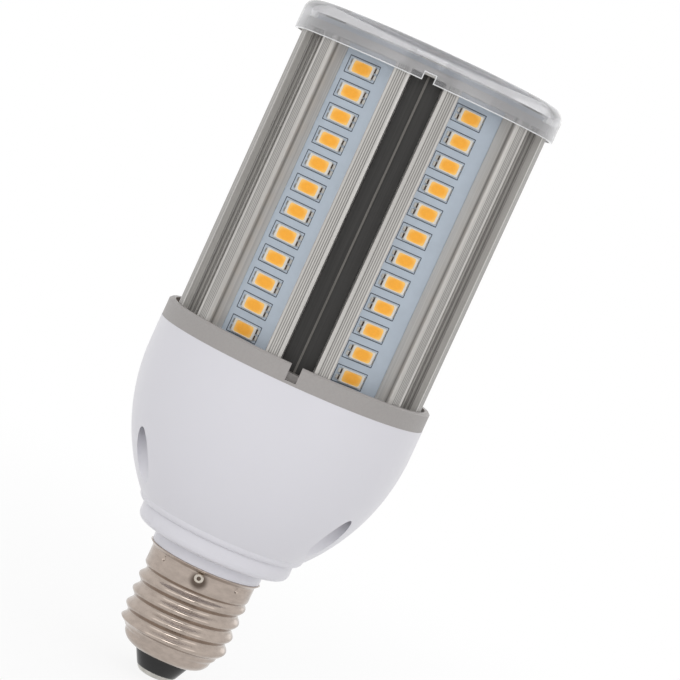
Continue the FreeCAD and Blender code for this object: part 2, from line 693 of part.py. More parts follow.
def led_strip(azimuth):
    """A strip board in its channel."""
    half = BOARD_WIDTH / 2
    return turned(block(-half, half, -BOARD_FACE, -BOARD_SEAT, SINK_BOTTOM, SINK_TOP), azimuth)


def led_package():
    """An LED package at the origin, flat on its back, with its window facing up and its length along X."""
    x, y = LED_LENGTH / 2, LED_WIDTH / 2
    body = block(-x, x, -y, y, 0, LED_HEIGHT)
    window_x, window_y = x - LED_END_RIM, y - LED_RIM
    return body.cut(block(-window_x, window_x, -window_y, window_y, LED_HEIGHT - LED_POCKET, LED_HEIGHT))


def strip_leds(azimuth):
    """The LED packages of one strip."""
    packages = []
    for i in range(LEDS_PER_STRIP):
        package = led_package()
        package.rotate(ORIGIN, V(1, 0, 0), 90)
        package.translate(V(LED_SHIFT, -BOARD_FACE, LED_FIRST + LED_PITCH * i))
        packages.append(turned(package, azimuth))
    return packages


# Top end

def end_plate():
    """The plate that closes the heat sink and carries the lens cover."""
    plate = disc(END_PLATE_RADIUS, SINK_TOP, PLATE_TOP)
    holes = [disc(SCREW_HOLE, SINK_TOP, PLATE_TOP, place) for place in port_places()]
    return plate.cut(holes + [disc(END_PLATE_HOLE, SINK_TOP, PLATE_TOP)])


def top_board():
    """The round board of the end-facing LEDs."""
    board = disc(TOP_BOARD_RADIUS, PLATE_TOP, TOP_BOARD_FACE)
    holes = [countersink(place, GAP) for place in port_places()]
    for side in (-1, 1):
        holes.append(disc(WIRE_RADIUS + GAP / 2, PLATE_TOP, TOP_BOARD_FACE, output_lead_place(side)))
    return board.cut(holes)


def top_leds():
    """The LED packages of the top board, in a ring."""
    packages = []
    for i in range(TOP_LED_COUNT):
        package = led_package()
        package.translate(V(0, -TOP_LED_PLACE, TOP_BOARD_FACE))
        packages.append(turned(package, 360.0 / TOP_LED_COUNT * i))
    return packages


def board_connectors():
    """The connectors along the edge of the top board, each with two posts on a low base."""
    half = CONNECTOR_WIDTH / 2
    slot = CONNECTOR_SLOT / 2
    y0 = -CONNECTOR_PLACE - CONNECTOR_DEPTH / 2
    y1 = -CONNECTOR_PLACE + CONNECTOR_DEPTH / 2
    top = TOP_BOARD_FACE + CONNECTOR_HEIGHT
    body = block(-half, half, y0, y1, TOP_BOARD_FACE, top)
    body = body.cut(block(-slot, slot, y0, y1, TOP_BOARD_FACE + CONNECTOR_BASE, top))
    return [turned(body, groove_azimuth(i)) for i in CONNECTOR_GROOVES]


def countersink(place, spare):
    """A screw head's cone through the top board, wider by spare."""
    tip = SCREW_RADIUS + spare
    return Part.makeCone(tip, SCREW_HEAD_RADIUS + spare, TOP_BOARD_WALL, V(place.x, place.y, PLATE_TOP))


def top_screws():
    """The flush screws through top board and end plate into the ports of the heat sink."""
    screws = []
    for place in port_places():
        shank = disc(SCREW_RADIUS, TOP_BOARD_FACE - TOP_SCREW_LENGTH, PLATE_TOP, place)
        screws.append(shank.fuse(countersink(place, 0)).removeSplitter())
    return screws


def ring_screws():
    """The screws through the ring's floor into the ports of the heat sink."""
    return [pan_screw(place, HOUSING_TOP, RING_SCREW_LENGTH, True) for place in port_places()]


def dome_outline(radius, dome, shoulder, top, bottom):
    """The outline of a domed cap: straight side, round shoulder and a shallow spherical top."""
    centre = top - dome
    shoulder_x = radius - shoulder
    shoulder_z = centre + math.sqrt((dome - shoulder) ** 2 - shoulder_x ** 2)
    lean = math.degrees(math.atan2(shoulder_z - centre, shoulder_x))
    return [
        line((0, bottom), (radius, bottom)),
        line((radius, bottom), (radius, shoulder_z)),
        arc_about((shoulder_x, shoulder_z), shoulder, 0, lean),
        arc_about((0, centre), dome, lean, 90),
        line((0, top), (0, bottom)),
    ]


def lens_hollow():
    """The room under the cap's top, with a bevelled shoulder and a ceiling that rises to the middle."""
    corners = [
        (0, PLATE_TOP),
        (LENS_ROOM_RADIUS, PLATE_TOP),
        (LENS_ROOM_RADIUS, LENS_SHOULDER_CEILING - LENS_INNER_SHOULDER),
        (LENS_ROOM_RADIUS - LENS_INNER_SHOULDER, LENS_SHOULDER_CEILING),
        (0, LENS_CEILING),
    ]
    return spun([line(a, b) for a, b in zip(corners, corners[1:] + corners[:1])])


def lens_cover():
    """The clear cap: its skirt slides over the heat sink, and its inner step rests on the end plate."""
    outer = spun(dome_outline(LENS_RADIUS, LENS_DOME_RADIUS, LENS_SHOULDER, LENS_TOP, LENS_SKIRT_BOTTOM))
    skirt = disc(LENS_SKIRT_RADIUS, LENS_SKIRT_BOTTOM, PLATE_TOP)
    half = LENS_NOTCH / 2
    notch_top = LENS_SKIRT_BOTTOM + LENS_NOTCH_HEIGHT
    notch = block(-half, half, -LENS_RADIUS - CUT_PAST, -SINK_RADIUS, LENS_SKIRT_BOTTOM, notch_top)
    return outer.cut([lens_hollow(), skirt, notch])


# Driver

def driver_board():
    """The driver's board, upright in its rails."""
    half = DRIVER_WIDTH / 2
    return block(-half, half, DRIVER_FACE, -DRIVER_FACE, DRIVER_BOTTOM, DRIVER_TOP)


def transformer_core():
    """The ferrite core: a closed frame with a centre leg, its long way across the board."""
    depth0 = DRIVER_FACE - WINDING_STANDOFF - (WINDING_DEPTH - WINDING_STANDOFF) / 2 - CORE_DEPTH / 2
    x, z = CORE_WIDTH / 2, CORE_LENGTH / 2
    body = block(-x, x, depth0, depth0 + CORE_DEPTH, CORE_CENTRE - z, CORE_CENTRE + z)
    windows = []
    window_z = z - CORE_LEG
    for side in (-1, 1):
        x0, x1 = sorted((side * CORE_LEG, side * (x - CORE_LEG)))
        low, high = CORE_CENTRE - window_z, CORE_CENTRE + window_z
        windows.append(block(x0, x1, depth0, depth0 + CORE_DEPTH, low, high))
    return body.cut(windows)


def transformer_winding():
    """The wound bobbin round the core's centre leg, standing on the board."""
    core = transformer_core()
    box = core.BoundBox
    x = CORE_WIDTH / 2 - CORE_LEG - GAP
    z = CORE_LENGTH / 2 - CORE_LEG - GAP
    body = block(-x, x, DRIVER_FACE - WINDING_DEPTH, DRIVER_FACE, CORE_CENTRE - z, CORE_CENTRE + z)
    leg = CORE_LEG + GAP
    hole = block(-leg, leg, box.YMin - GAP, box.YMax + GAP, CORE_CENTRE - z, CORE_CENTRE + z)
    return body.cut(hole)


def board_point(place, height):
    """A point over the driver's board, at a height off its face."""
    x, z = place
    return V(x, DRIVER_FACE - height, DRIVER_BOTTOM + z)


def lying_capacitor(radius, length, place, way):
    """An electrolytic capacitor that lies on the board along a direction, with its rolled groove."""
    start = board_point(place, radius) - way * (length / 2)
    can = Part.makeCylinder(radius, length, start, way)
    can = can.makeChamfer(radius / 8, rims(can))
    groove_at = start + way * (length - radius / 2)
    band = Part.makeCylinder(radius, CAP_GROOVE * 2, groove_at, way)
    return can.cut(band.cut(Part.makeCylinder(radius - CAP_GROOVE, CAP_GROOVE * 2, groove_at, way)))


def on_board(size, place):
    """A block that lies on the driver's board."""
    width, height, length = size
    return Part.makeBox(width, height, length, board_point(place, height) - V(width / 2, 0, length / 2))


def choke():
    """The input choke: a wound drum that stands on the board."""
    drum = Part.makeCylinder(CHOKE_RADIUS, CHOKE_HEIGHT, board_point(CHOKE_PLACE, 0), OUT)
    waist_base = board_point(CHOKE_PLACE, CHOKE_FLANGE)
    waist = CHOKE_HEIGHT - 2 * CHOKE_FLANGE
    band = Part.makeCylinder(CHOKE_RADIUS, waist, waist_base, OUT)
    core = Part.makeCylinder(CHOKE_RADIUS - CHOKE_WAIST_DEPTH, waist, waist_base, OUT)
    return drum.cut(band.cut(core))


def fuse_resistor():
    """The fusible resistor, lying along the board."""
    start = board_point(FUSE_PLACE, FUSE_RADIUS) - V(0, 0, FUSE_LENGTH / 2)
    body = Part.makeCylinder(FUSE_RADIUS, FUSE_LENGTH, start, AXIS)
    return body.makeChamfer(FUSE_RADIUS / 2, rims(body))


def varistor():
    """The disc varistor, standing on the board."""
    start = board_point(VARISTOR_PLACE, VARISTOR_RADIUS) - V(VARISTOR_WALL / 2, 0, 0)
    body = Part.makeCylinder(VARISTOR_RADIUS, VARISTOR_WALL, start, ACROSS)
    return body.makeChamfer(VARISTOR_WALL / 4, rims(body))


# Lead wires

def output_lead_place(side):
    """The foot of an output lead on the plane Z = 0."""
    return V(side * OUTPUT_LEAD_SPREAD, DRIVER_FACE - WIRE_RADIUS, 0)


def output_wires():
    """The two leads from the driver's board up to the top board."""
    start = DRIVER_TOP - OUTPUT_LEAD_GRIP
    return [disc(WIRE_RADIUS, start, TOP_BOARD_FACE, output_lead_place(side)) for side in (-1, 1)]


def line_wire():
    """The lead from the driver's board down to the centre contact."""
    y = DRIVER_FACE - WIRE_RADIUS
    return wire_tube([
        V(LEAD_SPREAD, y, LEAD_START),
        V(LEAD_SPREAD, y, LEAD_START - LEAD_DROP),
        V(0, 0, FLANGE_TOP + CONTACT_LEAD_RISE),
        V(0, 0, FLANGE_TOP),
    ], WIRE_RADIUS)


def neutral_wire():
    """The lead from the driver's board down to the pin in the shell."""
    y = DRIVER_FACE - WIRE_RADIUS
    return wire_tube([
        V(-LEAD_SPREAD, y, LEAD_START),
        V(-LEAD_SPREAD, y, PIN_HEIGHT + PIN_LEAD_RISE),
        V(0, -(SPIGOT_BORE + y) / 2, PIN_HEIGHT),
        V(0, -SPIGOT_BORE + PIN_REACH, PIN_HEIGHT),
    ], WIRE_RADIUS)


def sub_parts():
    """Every named sub-part of the lamp."""
    parts = {
        "lens_cover": lens_cover(),
        "top_board": top_board(),
        "top_leds": top_leds(),
        "board_connectors": board_connectors(),
        "top_screws": top_screws(),
        "end_plate": end_plate(),
        "heat_sink": heat_sink(),
        "groove_strips": [groove_strip(groove_azimuth(i)) for i in range(PANELS)],
        "clamp_ring": clamp_ring(),
        "ring_screws": ring_screws(),
        "housing": housing(),
        "housing_screws": channel_screws(),
        "screw_shell": screw_shell(),
        "shell_pin": shell_pin(),
        "insulator": insulator(),
        "centre_contact": centre_contact(),
        "driver_board": driver_board(),
        "transformer_core": transformer_core(),
        "transformer_winding": transformer_winding(),
        "input_capacitor": lying_capacitor(INPUT_CAP_RADIUS, INPUT_CAP_LENGTH, INPUT_CAP_PLACE, AXIS),
        "output_capacitor": lying_capacitor(OUTPUT_CAP_RADIUS, OUTPUT_CAP_LENGTH, OUTPUT_CAP_PLACE, ACROSS),
        "choke": choke(),
        "rectifier": on_board(RECTIFIER_SIZE, RECTIFIER_PLACE),
        "controller": on_board(CONTROLLER_SIZE, CONTROLLER_PLACE),
        "fuse_resistor": fuse_resistor(),
        "varistor": varistor(),
        "line_wire": line_wire(),
        "neutral_wire": neutral_wire(),
        "output_wires": output_wires(),
    }
    for i in range(PANELS):
        parts[f"led_strip_{i + 1}"] = led_strip(panel_azimuth(i))
        parts[f"strip_leds_{i + 1}"] = strip_leds(panel_azimuth(i))
    return parts


def main():
    """Write each sub-part to its own file."""
    os.makedirs("parts", exist_ok=True)
    for name, shape in sub_parts().items():
        solid = Part.makeCompound(shape) if isinstance(shape, list) else shape
        solid.exportStep(f"parts/{name}.step")


main()
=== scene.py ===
"""Looks of a corn LED bulb: materials, LED details, the rolled thread of its cap, light and camera.

Lengths are named in millimetres and turned to metres where a mesh is made. Z is the lamp's axis, Z = 0 is
the tip of the centre contact and the front of the lamp, with its key groove, faces -Y. An azimuth is counted
from the front and grows towards +X.
"""
import logging
import math
from dataclasses import dataclass, field
from enum import Enum
from typing import Any, Iterable, Sequence

import bmesh
import bpy
from mathutils import Matrix, Vector

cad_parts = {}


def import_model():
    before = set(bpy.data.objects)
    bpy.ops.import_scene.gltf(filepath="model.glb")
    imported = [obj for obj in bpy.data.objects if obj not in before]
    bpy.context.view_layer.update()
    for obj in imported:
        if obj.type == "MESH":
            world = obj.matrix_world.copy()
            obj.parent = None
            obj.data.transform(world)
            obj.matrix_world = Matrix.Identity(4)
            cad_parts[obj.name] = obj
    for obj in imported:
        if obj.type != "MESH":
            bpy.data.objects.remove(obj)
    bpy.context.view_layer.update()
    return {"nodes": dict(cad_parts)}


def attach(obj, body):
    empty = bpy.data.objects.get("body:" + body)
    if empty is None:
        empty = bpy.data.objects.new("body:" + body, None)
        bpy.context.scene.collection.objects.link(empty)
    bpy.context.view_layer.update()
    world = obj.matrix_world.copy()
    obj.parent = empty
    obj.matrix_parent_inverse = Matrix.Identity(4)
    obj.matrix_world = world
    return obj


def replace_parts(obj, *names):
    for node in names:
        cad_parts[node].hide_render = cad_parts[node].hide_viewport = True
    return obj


LOG = logging.getLogger("corn_lamp")
MM = 0.001
BODY = "root"
PANELS = 6
PANEL_PITCH = 360.0 / PANELS
# The attribute that holds the place on an LED's window, counted from its middle
WINDOW_PLACE = "window_place"
WHITE = (1.0, 1.0, 1.0, 1.0)
# The kinds of node that are used most
MATHS = "ShaderNodeMath"
VECTOR_MATHS = "ShaderNodeVectorMath"
RAMP = "ShaderNodeMapRange"
COMBINE = "ShaderNodeCombineXYZ"
SEPARATE = "ShaderNodeSeparateXYZ"
# How the grain of every finish is drawn: its octaves, their strength and the stretch of noise that it uses
GRAIN_DETAIL = 3.0
GRAIN_FINENESS = 0.55
GRAIN_SPREAD = (0.25, 0.75)
# How near two corners count as one, in millimetres
SAME_PLACE = 0.001

Outline = Sequence[tuple[float, float]]


def linear(code: str) -> tuple[float, float, float, float]:
    """Turn an sRGB hex colour into linear RGBA.

    Args:
        code: The colour as six hex digits.

    Returns:
        Red, green, blue and alpha, each from 0 to 1.
    """
    parts = [int(code[i:i + 2], 16) / 255 for i in (0, 2, 4)]
    red, green, blue = (c / 12.92 if c <= 0.04045 else ((c + 0.055) / 1.055) ** 2.4 for c in parts)
    return red, green, blue, 1.0


def add_node(tree: bpy.types.NodeTree, kind: str, sockets: dict | Sequence = (), **settings: Any
             ) -> bpy.types.Node:
    """Add a node with its settings, values and links.

    Args:
        tree: The shader or geometry tree.
        kind: The node's type name.
        sockets: For each input, by name or number or in their order, its value, the output that feeds it, or
            the node whose first live output does.
        settings: Properties of the node itself.

    Returns:
        The new node.
    """
    made = tree.nodes.new(kind)
    for name, value in settings.items():
        setattr(made, name, value)
    inputs = sockets if isinstance(sockets, dict) else dict(enumerate(sockets))
    for key, value in inputs.items():
        if isinstance(value, bpy.types.Node):
            value = next(output for output in value.outputs if output.enabled)
        if isinstance(value, bpy.types.NodeSocket):
            tree.links.new(value, made.inputs[key])
        else:
            made.inputs[key].default_value = value
    return made


def overlay(tree: bpy.types.NodeTree, shader: bpy.types.Node, share: bpy.types.Node, code: str) -> None:
    """Lay one more colour over a shader's own.

    Args:
        tree: The material's tree.
        shader: The shader, whose colour comes from a node.
        share: The node that says how much of the colour shows, from 0 to 1.
        code: The colour as sRGB hex.
    """
    socket = shader.inputs["Base Color"]
    mix = add_node(tree, "ShaderNodeMix", {0: share, 6: socket.links[0].from_socket, 7: linear(code)},
                   data_type="RGBA")
    tree.links.new(mix.outputs[2], socket)


# Finishes


@dataclass(frozen=True)
class Finish:
    """A surface finish: one base colour with a grain that varies its tone, roughness and height.

    Attributes:
        name: The finish's plain name.
        colour: sRGB hex of the surface.
        metallic: 1 for bare metal, 0 for anything else.
        roughness: The mean roughness.
        grain: The grain's size along X, Y and Z in millimetres, or nothing for an even surface.
        tone: How far the grain darkens the colour, from 0 to 1.
        rough_spread: How far the grain changes the roughness.
        relief: The grain's height in millimetres.
    """

    name: str
    colour: str
    metallic: float = 0.0
    roughness: float = 0.4
    grain: tuple[float, ...] = ()
    tone: float = 0.04
    rough_spread: float = 0.05
    relief: float = 0.0

    def build(self) -> bpy.types.Material:
        """Make the material, or give the one already made.

        Returns:
            The material.
        """
        found = bpy.data.materials.get(self.name)
        if found:
            return found
        material = bpy.data.materials.new(self.name)
        material.use_nodes = True
        tree = material.node_tree
        shader = tree.nodes["Principled BSDF"]
        shader.inputs["Metallic"].default_value = self.metallic
        if self.grain:
            self.add_grain(tree, shader)
        else:
            shader.inputs["Base Color"].default_value = linear(self.colour)
            shader.inputs["Roughness"].default_value = self.roughness
        self.refine(tree, shader)
        return material

    def refine(self, tree: bpy.types.NodeTree, shader: bpy.types.Node) -> None:
        """Add what the finish has beyond its grain: nothing on a plain one."""

    def add_grain(self, tree: bpy.types.NodeTree, shader: bpy.types.Node) -> None:
        """Let the grain vary tone, roughness and height.

        Args:
            tree: The material's tree.
            shader: Its main shader.
        """
        grain = self.grain_value(tree)
        colour = linear(self.colour)
        dark = (*(part * (1 - self.tone) for part in colour[:3]), 1.0)
        shade = add_node(tree, "ShaderNodeMix", {0: grain, 6: colour, 7: dark}, data_type="RGBA")
        tree.links.new(shade.outputs[2], shader.inputs["Base Color"])
        rough = add_node(tree, RAMP, {"Value": grain, "To Min": self.roughness - self.rough_spread,
                                      "To Max": self.roughness + self.rough_spread})
        tree.links.new(rough.outputs[0], shader.inputs["Roughness"])
        if self.relief:
            bump = add_node(tree, "ShaderNodeBump", {"Height": grain, "Distance": self.relief * MM,
                                                     "Strength": 1.0})
            tree.links.new(bump.outputs["Normal"], shader.inputs["Normal"])

    def grain_value(self, tree: bpy.types.NodeTree) -> bpy.types.Node:
        """The grain as one number from 0 to 1 over the object's own coordinates.

        Args:
            tree: The material's tree.

        Returns:
            The node that gives the grain.
        """
        scale = tuple(1 / (size * MM) for size in self.grain)
        place = add_node(tree, "ShaderNodeTexCoord").outputs["Object"]
        mapping = add_node(tree, "ShaderNodeMapping", {"Vector": place, "Scale": scale})
        noise = add_node(tree, "ShaderNodeTexNoise", {"Vector": mapping, "Scale": 1.0, "Detail": GRAIN_DETAIL,
                                                      "Roughness": GRAIN_FINENESS})
        low, high = GRAIN_SPREAD
        return add_node(tree, RAMP, {"Value": noise.outputs["Fac"], "From Min": low, "From Max": high},
                        interpolation_type="SMOOTHSTEP")


@dataclass(frozen=True)
class ClearPlastic(Finish):
    """Clear moulded polycarbonate: it bends light and turns hazy edge on, with a painted highlight along its
    skirt's lower edge and round its front notch.

    Attributes:
        ior: The plastic's index of refraction.
        clearness: The share of light that passes it; the rest shows its colour.
        edge_clearness: The same for its haze and its painted edge highlight.
        veil_colour: sRGB hex of the haze where the plastic is seen edge on.
        veil_start: How edge-on a face lies where the haze starts, from 0 to 1.
        veil_share: How strong the haze gets.
        shade_share: How much of the light gets to what lies under it.
        edge_highlight_colour: sRGB hex of the painted highlight along the skirt's edges.
        edge_width: The width of the painted edge highlight in millimetres.
        edge_bottom: The height of the skirt's lower edge in millimetres.
        notch: Half of the front notch's width and its height, in millimetres.
    """

    ior: float = 1.45
    clearness: float = 0.82
    edge_clearness: float = 0.15
    veil_colour: str = "BEBEC0"
    veil_start: float = 0.5
    veil_share: float = 0.9
    shade_share: float = 0.95
    edge_highlight_colour: str = "E6E7E8"
    edge_width: float = 0.3
    edge_bottom: float = 150.4
    notch: tuple[float, float] = (1.3, 1.85)

    def refine(self, tree: bpy.types.NodeTree, shader: bpy.types.Node) -> None:
        """Make it clear, add haze and the painted edge highlight, and let light through to what lies under
        it.

        Args:
            tree: The material's tree.
            shader: Its main shader.
        """
        shader.inputs["IOR"].default_value = self.ior
        edge = self.edge_highlight_share(tree)
        facing = add_node(tree, "ShaderNodeLayerWeight", {"Blend": 0.5}).outputs["Facing"]
        veil = add_node(tree, RAMP, {"Value": facing, "From Min": self.veil_start,
                                     "To Max": self.veil_share})
        covered = add_node(tree, MATHS, (veil, edge), operation="MAXIMUM")
        clear = add_node(tree, RAMP, {"Value": covered, "To Min": self.clearness,
                                      "To Max": self.edge_clearness})
        tree.links.new(clear.outputs[0], shader.inputs["Transmission Weight"])
        overlay(tree, shader, veil, self.veil_colour)
        # The pale edge colour is a painted highlight.
        overlay(tree, shader, edge, self.edge_highlight_colour)
        shadow = add_node(tree, "ShaderNodeLightPath").outputs["Is Shadow Ray"]
        passing = add_node(tree, MATHS, (shadow, self.shade_share), operation="MULTIPLY")
        window = add_node(tree, "ShaderNodeBsdfTransparent")
        mix = add_node(tree, "ShaderNodeMixShader", (passing, shader, window))
        tree.links.new(mix.outputs[0], tree.nodes["Material Output"].inputs["Surface"])

    def edge_highlight_share(self, tree: bpy.types.NodeTree) -> bpy.types.Node:
        """Where the painted highlight lies: 1 along the skirt's lower edge and round its front notch, 0
        elsewhere.

        Args:
            tree: The material's tree.

        Returns:
            The node that gives the share.
        """
        place = add_node(tree, "ShaderNodeTexCoord").outputs["Object"]
        x, y, z = add_node(tree, SEPARATE, (place,)).outputs
        half, height = (value * MM for value in self.notch)
        above = add_node(tree, MATHS, (z, self.edge_bottom * MM), operation="SUBTRACT")
        off_middle = add_node(tree, MATHS, (x,), operation="ABSOLUTE")
        beside = add_node(tree, MATHS, (off_middle, half), operation="SUBTRACT")
        behind = add_node(tree, MATHS, (y, 0.0), operation="GREATER_THAN")
        outside = add_node(tree, MATHS, (beside, behind), operation="ADD")
        over = add_node(tree, MATHS, (above, height), operation="SUBTRACT")
        notch = add_node(tree, MATHS, (outside, over), operation="MAXIMUM")
        reach = add_node(tree, MATHS, (above, notch), operation="MINIMUM")
        width = self.edge_width * MM
        return add_node(tree, RAMP, {"Value": reach, "From Min": width, "From Max": width / 2})


@dataclass(frozen=True)
class PhosphorFinish(Finish):
    """Silicone loaded with yellow phosphor: deep orange in the middle and paler towards the package's rim.

    Attributes:
        rim_colour: sRGB hex at the window's edge.
        window: Half of the window's length and width, in millimetres.
        fade: Where the rim's colour starts and where it is full, as shares of the window.
    """

    rim_colour: str = "FFCB70"
    window: tuple[float, float] = (2.35, 1.35)
    fade: tuple[float, float] = (0.6, 1.35)

    def refine(self, tree: bpy.types.NodeTree, shader: bpy.types.Node) -> None:
        """Lay the rim's colour over the window's edge.

        Args:
            tree: The material's tree.
            shader: Its main shader.
        """
        place = add_node(tree, "ShaderNodeAttribute", attribute_name=WINDOW_PLACE).outputs["Vector"]
        scale = (1 / (self.window[0] * MM), 1 / (self.window[1] * MM), 0.0)
        scaled = add_node(tree, VECTOR_MATHS, (place, scale), operation="MULTIPLY")
        reach = add_node(tree, VECTOR_MATHS, (scaled,), operation="LENGTH")
        start, full = self.fade
        share = add_node(tree, RAMP, {"Value": reach, "From Min": start, "From Max": full},
                         interpolation_type="SMOOTHSTEP")
        overlay(tree, shader, share, self.rim_colour)


@dataclass(frozen=True)
class ExtrusionFinish(Finish):
    """Extruded aluminium with painted shade along the fine ridges of its panels and in lines on its groove
    walls.

    Attributes:
        shade_line_colour: sRGB hex in the depth of a line.
        shade_line_share: How strongly the lines show, from 0 to 1.
        line_width: Half of a line's width in millimetres.
        side_lines: Distances of the lines from a panel's middle plane, in millimetres.
        groove_lines: Radii of the lines on the walls of the grooves, in millimetres.
        groove_start: The distance from a panel's middle plane at which a groove starts.
    """

    shade_line_colour: str = "4B4845"
    shade_line_share: float = 0.75
    line_width: float = 0.24
    side_lines: tuple[float, ...] = (7.9, 9.2, 9.7, 10.2, 10.7, 11.15)
    groove_lines: tuple[float, ...] = (27.7, 29.5)
    groove_start: float = 11.7

    def refine(self, tree: bpy.types.NodeTree, shader: bpy.types.Node) -> None:
        """Draw the painted shade lines of one panel and repeat them round the axis.

        Args:
            tree: The material's tree.
            shader: Its main shader.
        """
        place = add_node(tree, "ShaderNodeTexCoord").outputs["Object"]
        x, y, _ = add_node(tree, SEPARATE, (place,)).outputs
        flat = add_node(tree, COMBINE, (x, y))
        radius = add_node(tree, VECTOR_MATHS, (flat,), operation="LENGTH")
        forwards = add_node(tree, MATHS, (y, -1.0), operation="MULTIPLY")
        azimuth = add_node(tree, MATHS, (x, forwards), operation="ARCTAN2")
        pitch = math.radians(PANEL_PITCH)
        in_panel = add_node(tree, MATHS, (azimuth, pitch), operation="FLOORED_MODULO")
        within = add_node(tree, MATHS, (in_panel, pitch / 2), operation="SUBTRACT")
        sine = add_node(tree, MATHS, (within,), operation="SINE")
        across = add_node(tree, MATHS, (radius, sine), operation="MULTIPLY")
        side = add_node(tree, MATHS, (across,), operation="ABSOLUTE")
        in_groove = add_node(tree, MATHS, (side, self.groove_start * MM), operation="GREATER_THAN")
        walls = self.lines(tree, radius, self.groove_lines)
        wall_shade = add_node(tree, MATHS, (walls, in_groove), operation="MULTIPLY")
        lip_shade = self.lines(tree, side, self.side_lines)
        share = add_node(tree, MATHS, (lip_shade, wall_shade), operation="MAXIMUM")
        # The line colour is painted shade along the ridges and on the groove walls.
        overlay(tree, shader, share, self.shade_line_colour)

    def lines(self, tree: bpy.types.NodeTree, value: bpy.types.Node, places: Iterable[float]
              ) -> bpy.types.Node:
        """The strength of the nearest of several painted shade lines.

        Args:
            tree: The material's tree.
            value: The node that gives the distance on which the lines lie, in metres.
            places: Each line's distance in millimetres.

        Returns:
            The node that gives up to shade_line_share in the middle of a line and 0 between them.
        """
        nearest: Any = 1.0
        for place in places:
            offset = add_node(tree, MATHS, (value, place * MM), operation="SUBTRACT")
            reach = add_node(tree, MATHS, (offset,), operation="ABSOLUTE")
            nearest = add_node(tree, MATHS, (nearest, reach), operation="MINIMUM")
        return add_node(tree, RAMP, {"Value": nearest, "From Min": self.line_width * MM, "From Max": 0.0,
                                     "To Max": self.shade_line_share})


@dataclass(frozen=True)
class PatchedPlate(Finish):
    """Plating with one dark patch.

    Attributes:
        patch_colour: sRGB hex in the patch's middle.
        patch_place: Its middle in millimetres.
        patch_size: Its half sizes in millimetres.
        patch_core: The share of its size in which it is full.
        patch_share: How strongly it covers the plating, from 0 to 1.
    """

    patch_colour: str = "4A3D33"
    patch_place: tuple[float, float, float] = (0.15, -12.9, 26.8)
    patch_size: tuple[float, float, float] = (2.7, 3.0, 2.5)
    patch_core: float = 0.45
    patch_share: float = 0.85

    def refine(self, tree: bpy.types.NodeTree, shader: bpy.types.Node) -> None:
        """Lay the patch over the plating.

        Args:
            tree: The material's tree.
            shader: Its main shader.
        """
        middle = tuple(value * MM for value in self.patch_place)
        scale = tuple(1 / (value * MM) for value in self.patch_size)
        place = add_node(tree, "ShaderNodeTexCoord").outputs["Object"]
        moved = add_node(tree, VECTOR_MATHS, (place, middle), operation="SUBTRACT")
        scaled = add_node(tree, VECTOR_MATHS, (moved, scale), operation="MULTIPLY")
        reach = add_node(tree, VECTOR_MATHS, (scaled,), operation="LENGTH")
        share = add_node(tree, RAMP, {"Value": reach, "From Min": 1.0, "From Max": self.patch_core,
                                      "To Max": self.patch_share}, interpolation_type="SMOOTHSTEP")
        overlay(tree, shader, share, self.patch_colour)


# Grains of up to 1.5 mm stand for real ones that are finer than a tenth of a millimetre. They are drawn as
# coarse as they need to be to show.

# Injection-moulded ABS and polycarbonate blend: a soft, very even gloss over cool white.
HOUSING_PLASTIC = Finish("moulded_abs_white", "D9D8DE", roughness=0.3)
# Die-cast ring under satin grey lacquer: a fine even grain and no sharp reflection.
RING_LACQUER = Finish("satin_grey_lacquer", "A09C9A", roughness=0.48, grain=(0.5, 0.5, 0.5), tone=0.05,
                      rough_spread=0.04, relief=0.006)
# Extruded aluminium, etched and clear anodised: a satin surface with streaks of the die along the profile.
# Its darker lines along the panels' ridges and on the groove walls are painted shade.
EXTRUDED_ALUMINIUM = ExtrusionFinish("satin_anodised_aluminium", "CFCCC8", metallic=0.25, roughness=0.45,
                                     grain=(0.5, 0.5, 80.0), tone=0.25, rough_spread=0.08, relief=0.004)
# Sheet aluminium of the end plate, with a plain milled grain.
PLATE_ALUMINIUM = Finish("milled_aluminium_plate", "C8C6C3", metallic=0.9, roughness=0.42,
                         grain=(1.5, 1.5, 1.5), tone=0.1, relief=0.003)
# Black anodised aluminium strip: dull, with faint lengthwise drawing lines.
BLACK_ANODISED = Finish("black_anodised_strip", "2C2A28", roughness=0.5, grain=(0.35, 0.35, 30.0), tone=0.3,
                        rough_spread=0.08, relief=0.004)
# The front strip's centre rib: lighter grey on its front-facing top as a painted highlight.
PAINTED_RIB_HIGHLIGHT = Finish("worn_black_rib", "6F6C68", metallic=0.5, roughness=0.4, grain=(0.3, 0.3, 20.0), tone=0.3)
# Pale solder mask on a metal-core board: smooth, slightly glossy, faintly uneven over the copper below.
SOLDER_MASK = Finish("pale_solder_mask", "B4BFCB", roughness=0.38, grain=(3.0, 3.0, 3.0), tone=0.05,
                     rough_spread=0.05, relief=0.002)
# White polyphthalamide of an LED package: dull and very even.
PACKAGE_WHITE = Finish("package_white", "DCD9D2", roughness=0.5, grain=(1.2, 1.2, 1.2), tone=0.04)
# Phosphor under silicone: a soft gloss over deep orange yellow.
PHOSPHOR = PhosphorFinish("phosphor_window", "FFB02C", roughness=0.35, grain=(0.5, 0.5, 0.5), tone=0.05)
# Tin on the package's leads and solder joints: soft bright metal with small dents.
TIN = Finish("tinned_lead", "B9B7B2", metallic=1.0, roughness=0.35, grain=(0.4, 0.4, 0.4), tone=0.12,
             relief=0.01)
# The package's terminals: dark brown as painted shade under the package's edge.
TERMINAL_SHADE = Finish("tarnished_copper", "5C4C42", metallic=0.4, roughness=0.5, grain=(0.4, 0.4, 0.4),
                          tone=0.25)
# Dark ink of the board's printed outlines: flat and dull.
BOARD_INK = Finish("board_ink", "454C59", roughness=0.6, grain=(0.5, 0.5, 0.5), tone=0.2)
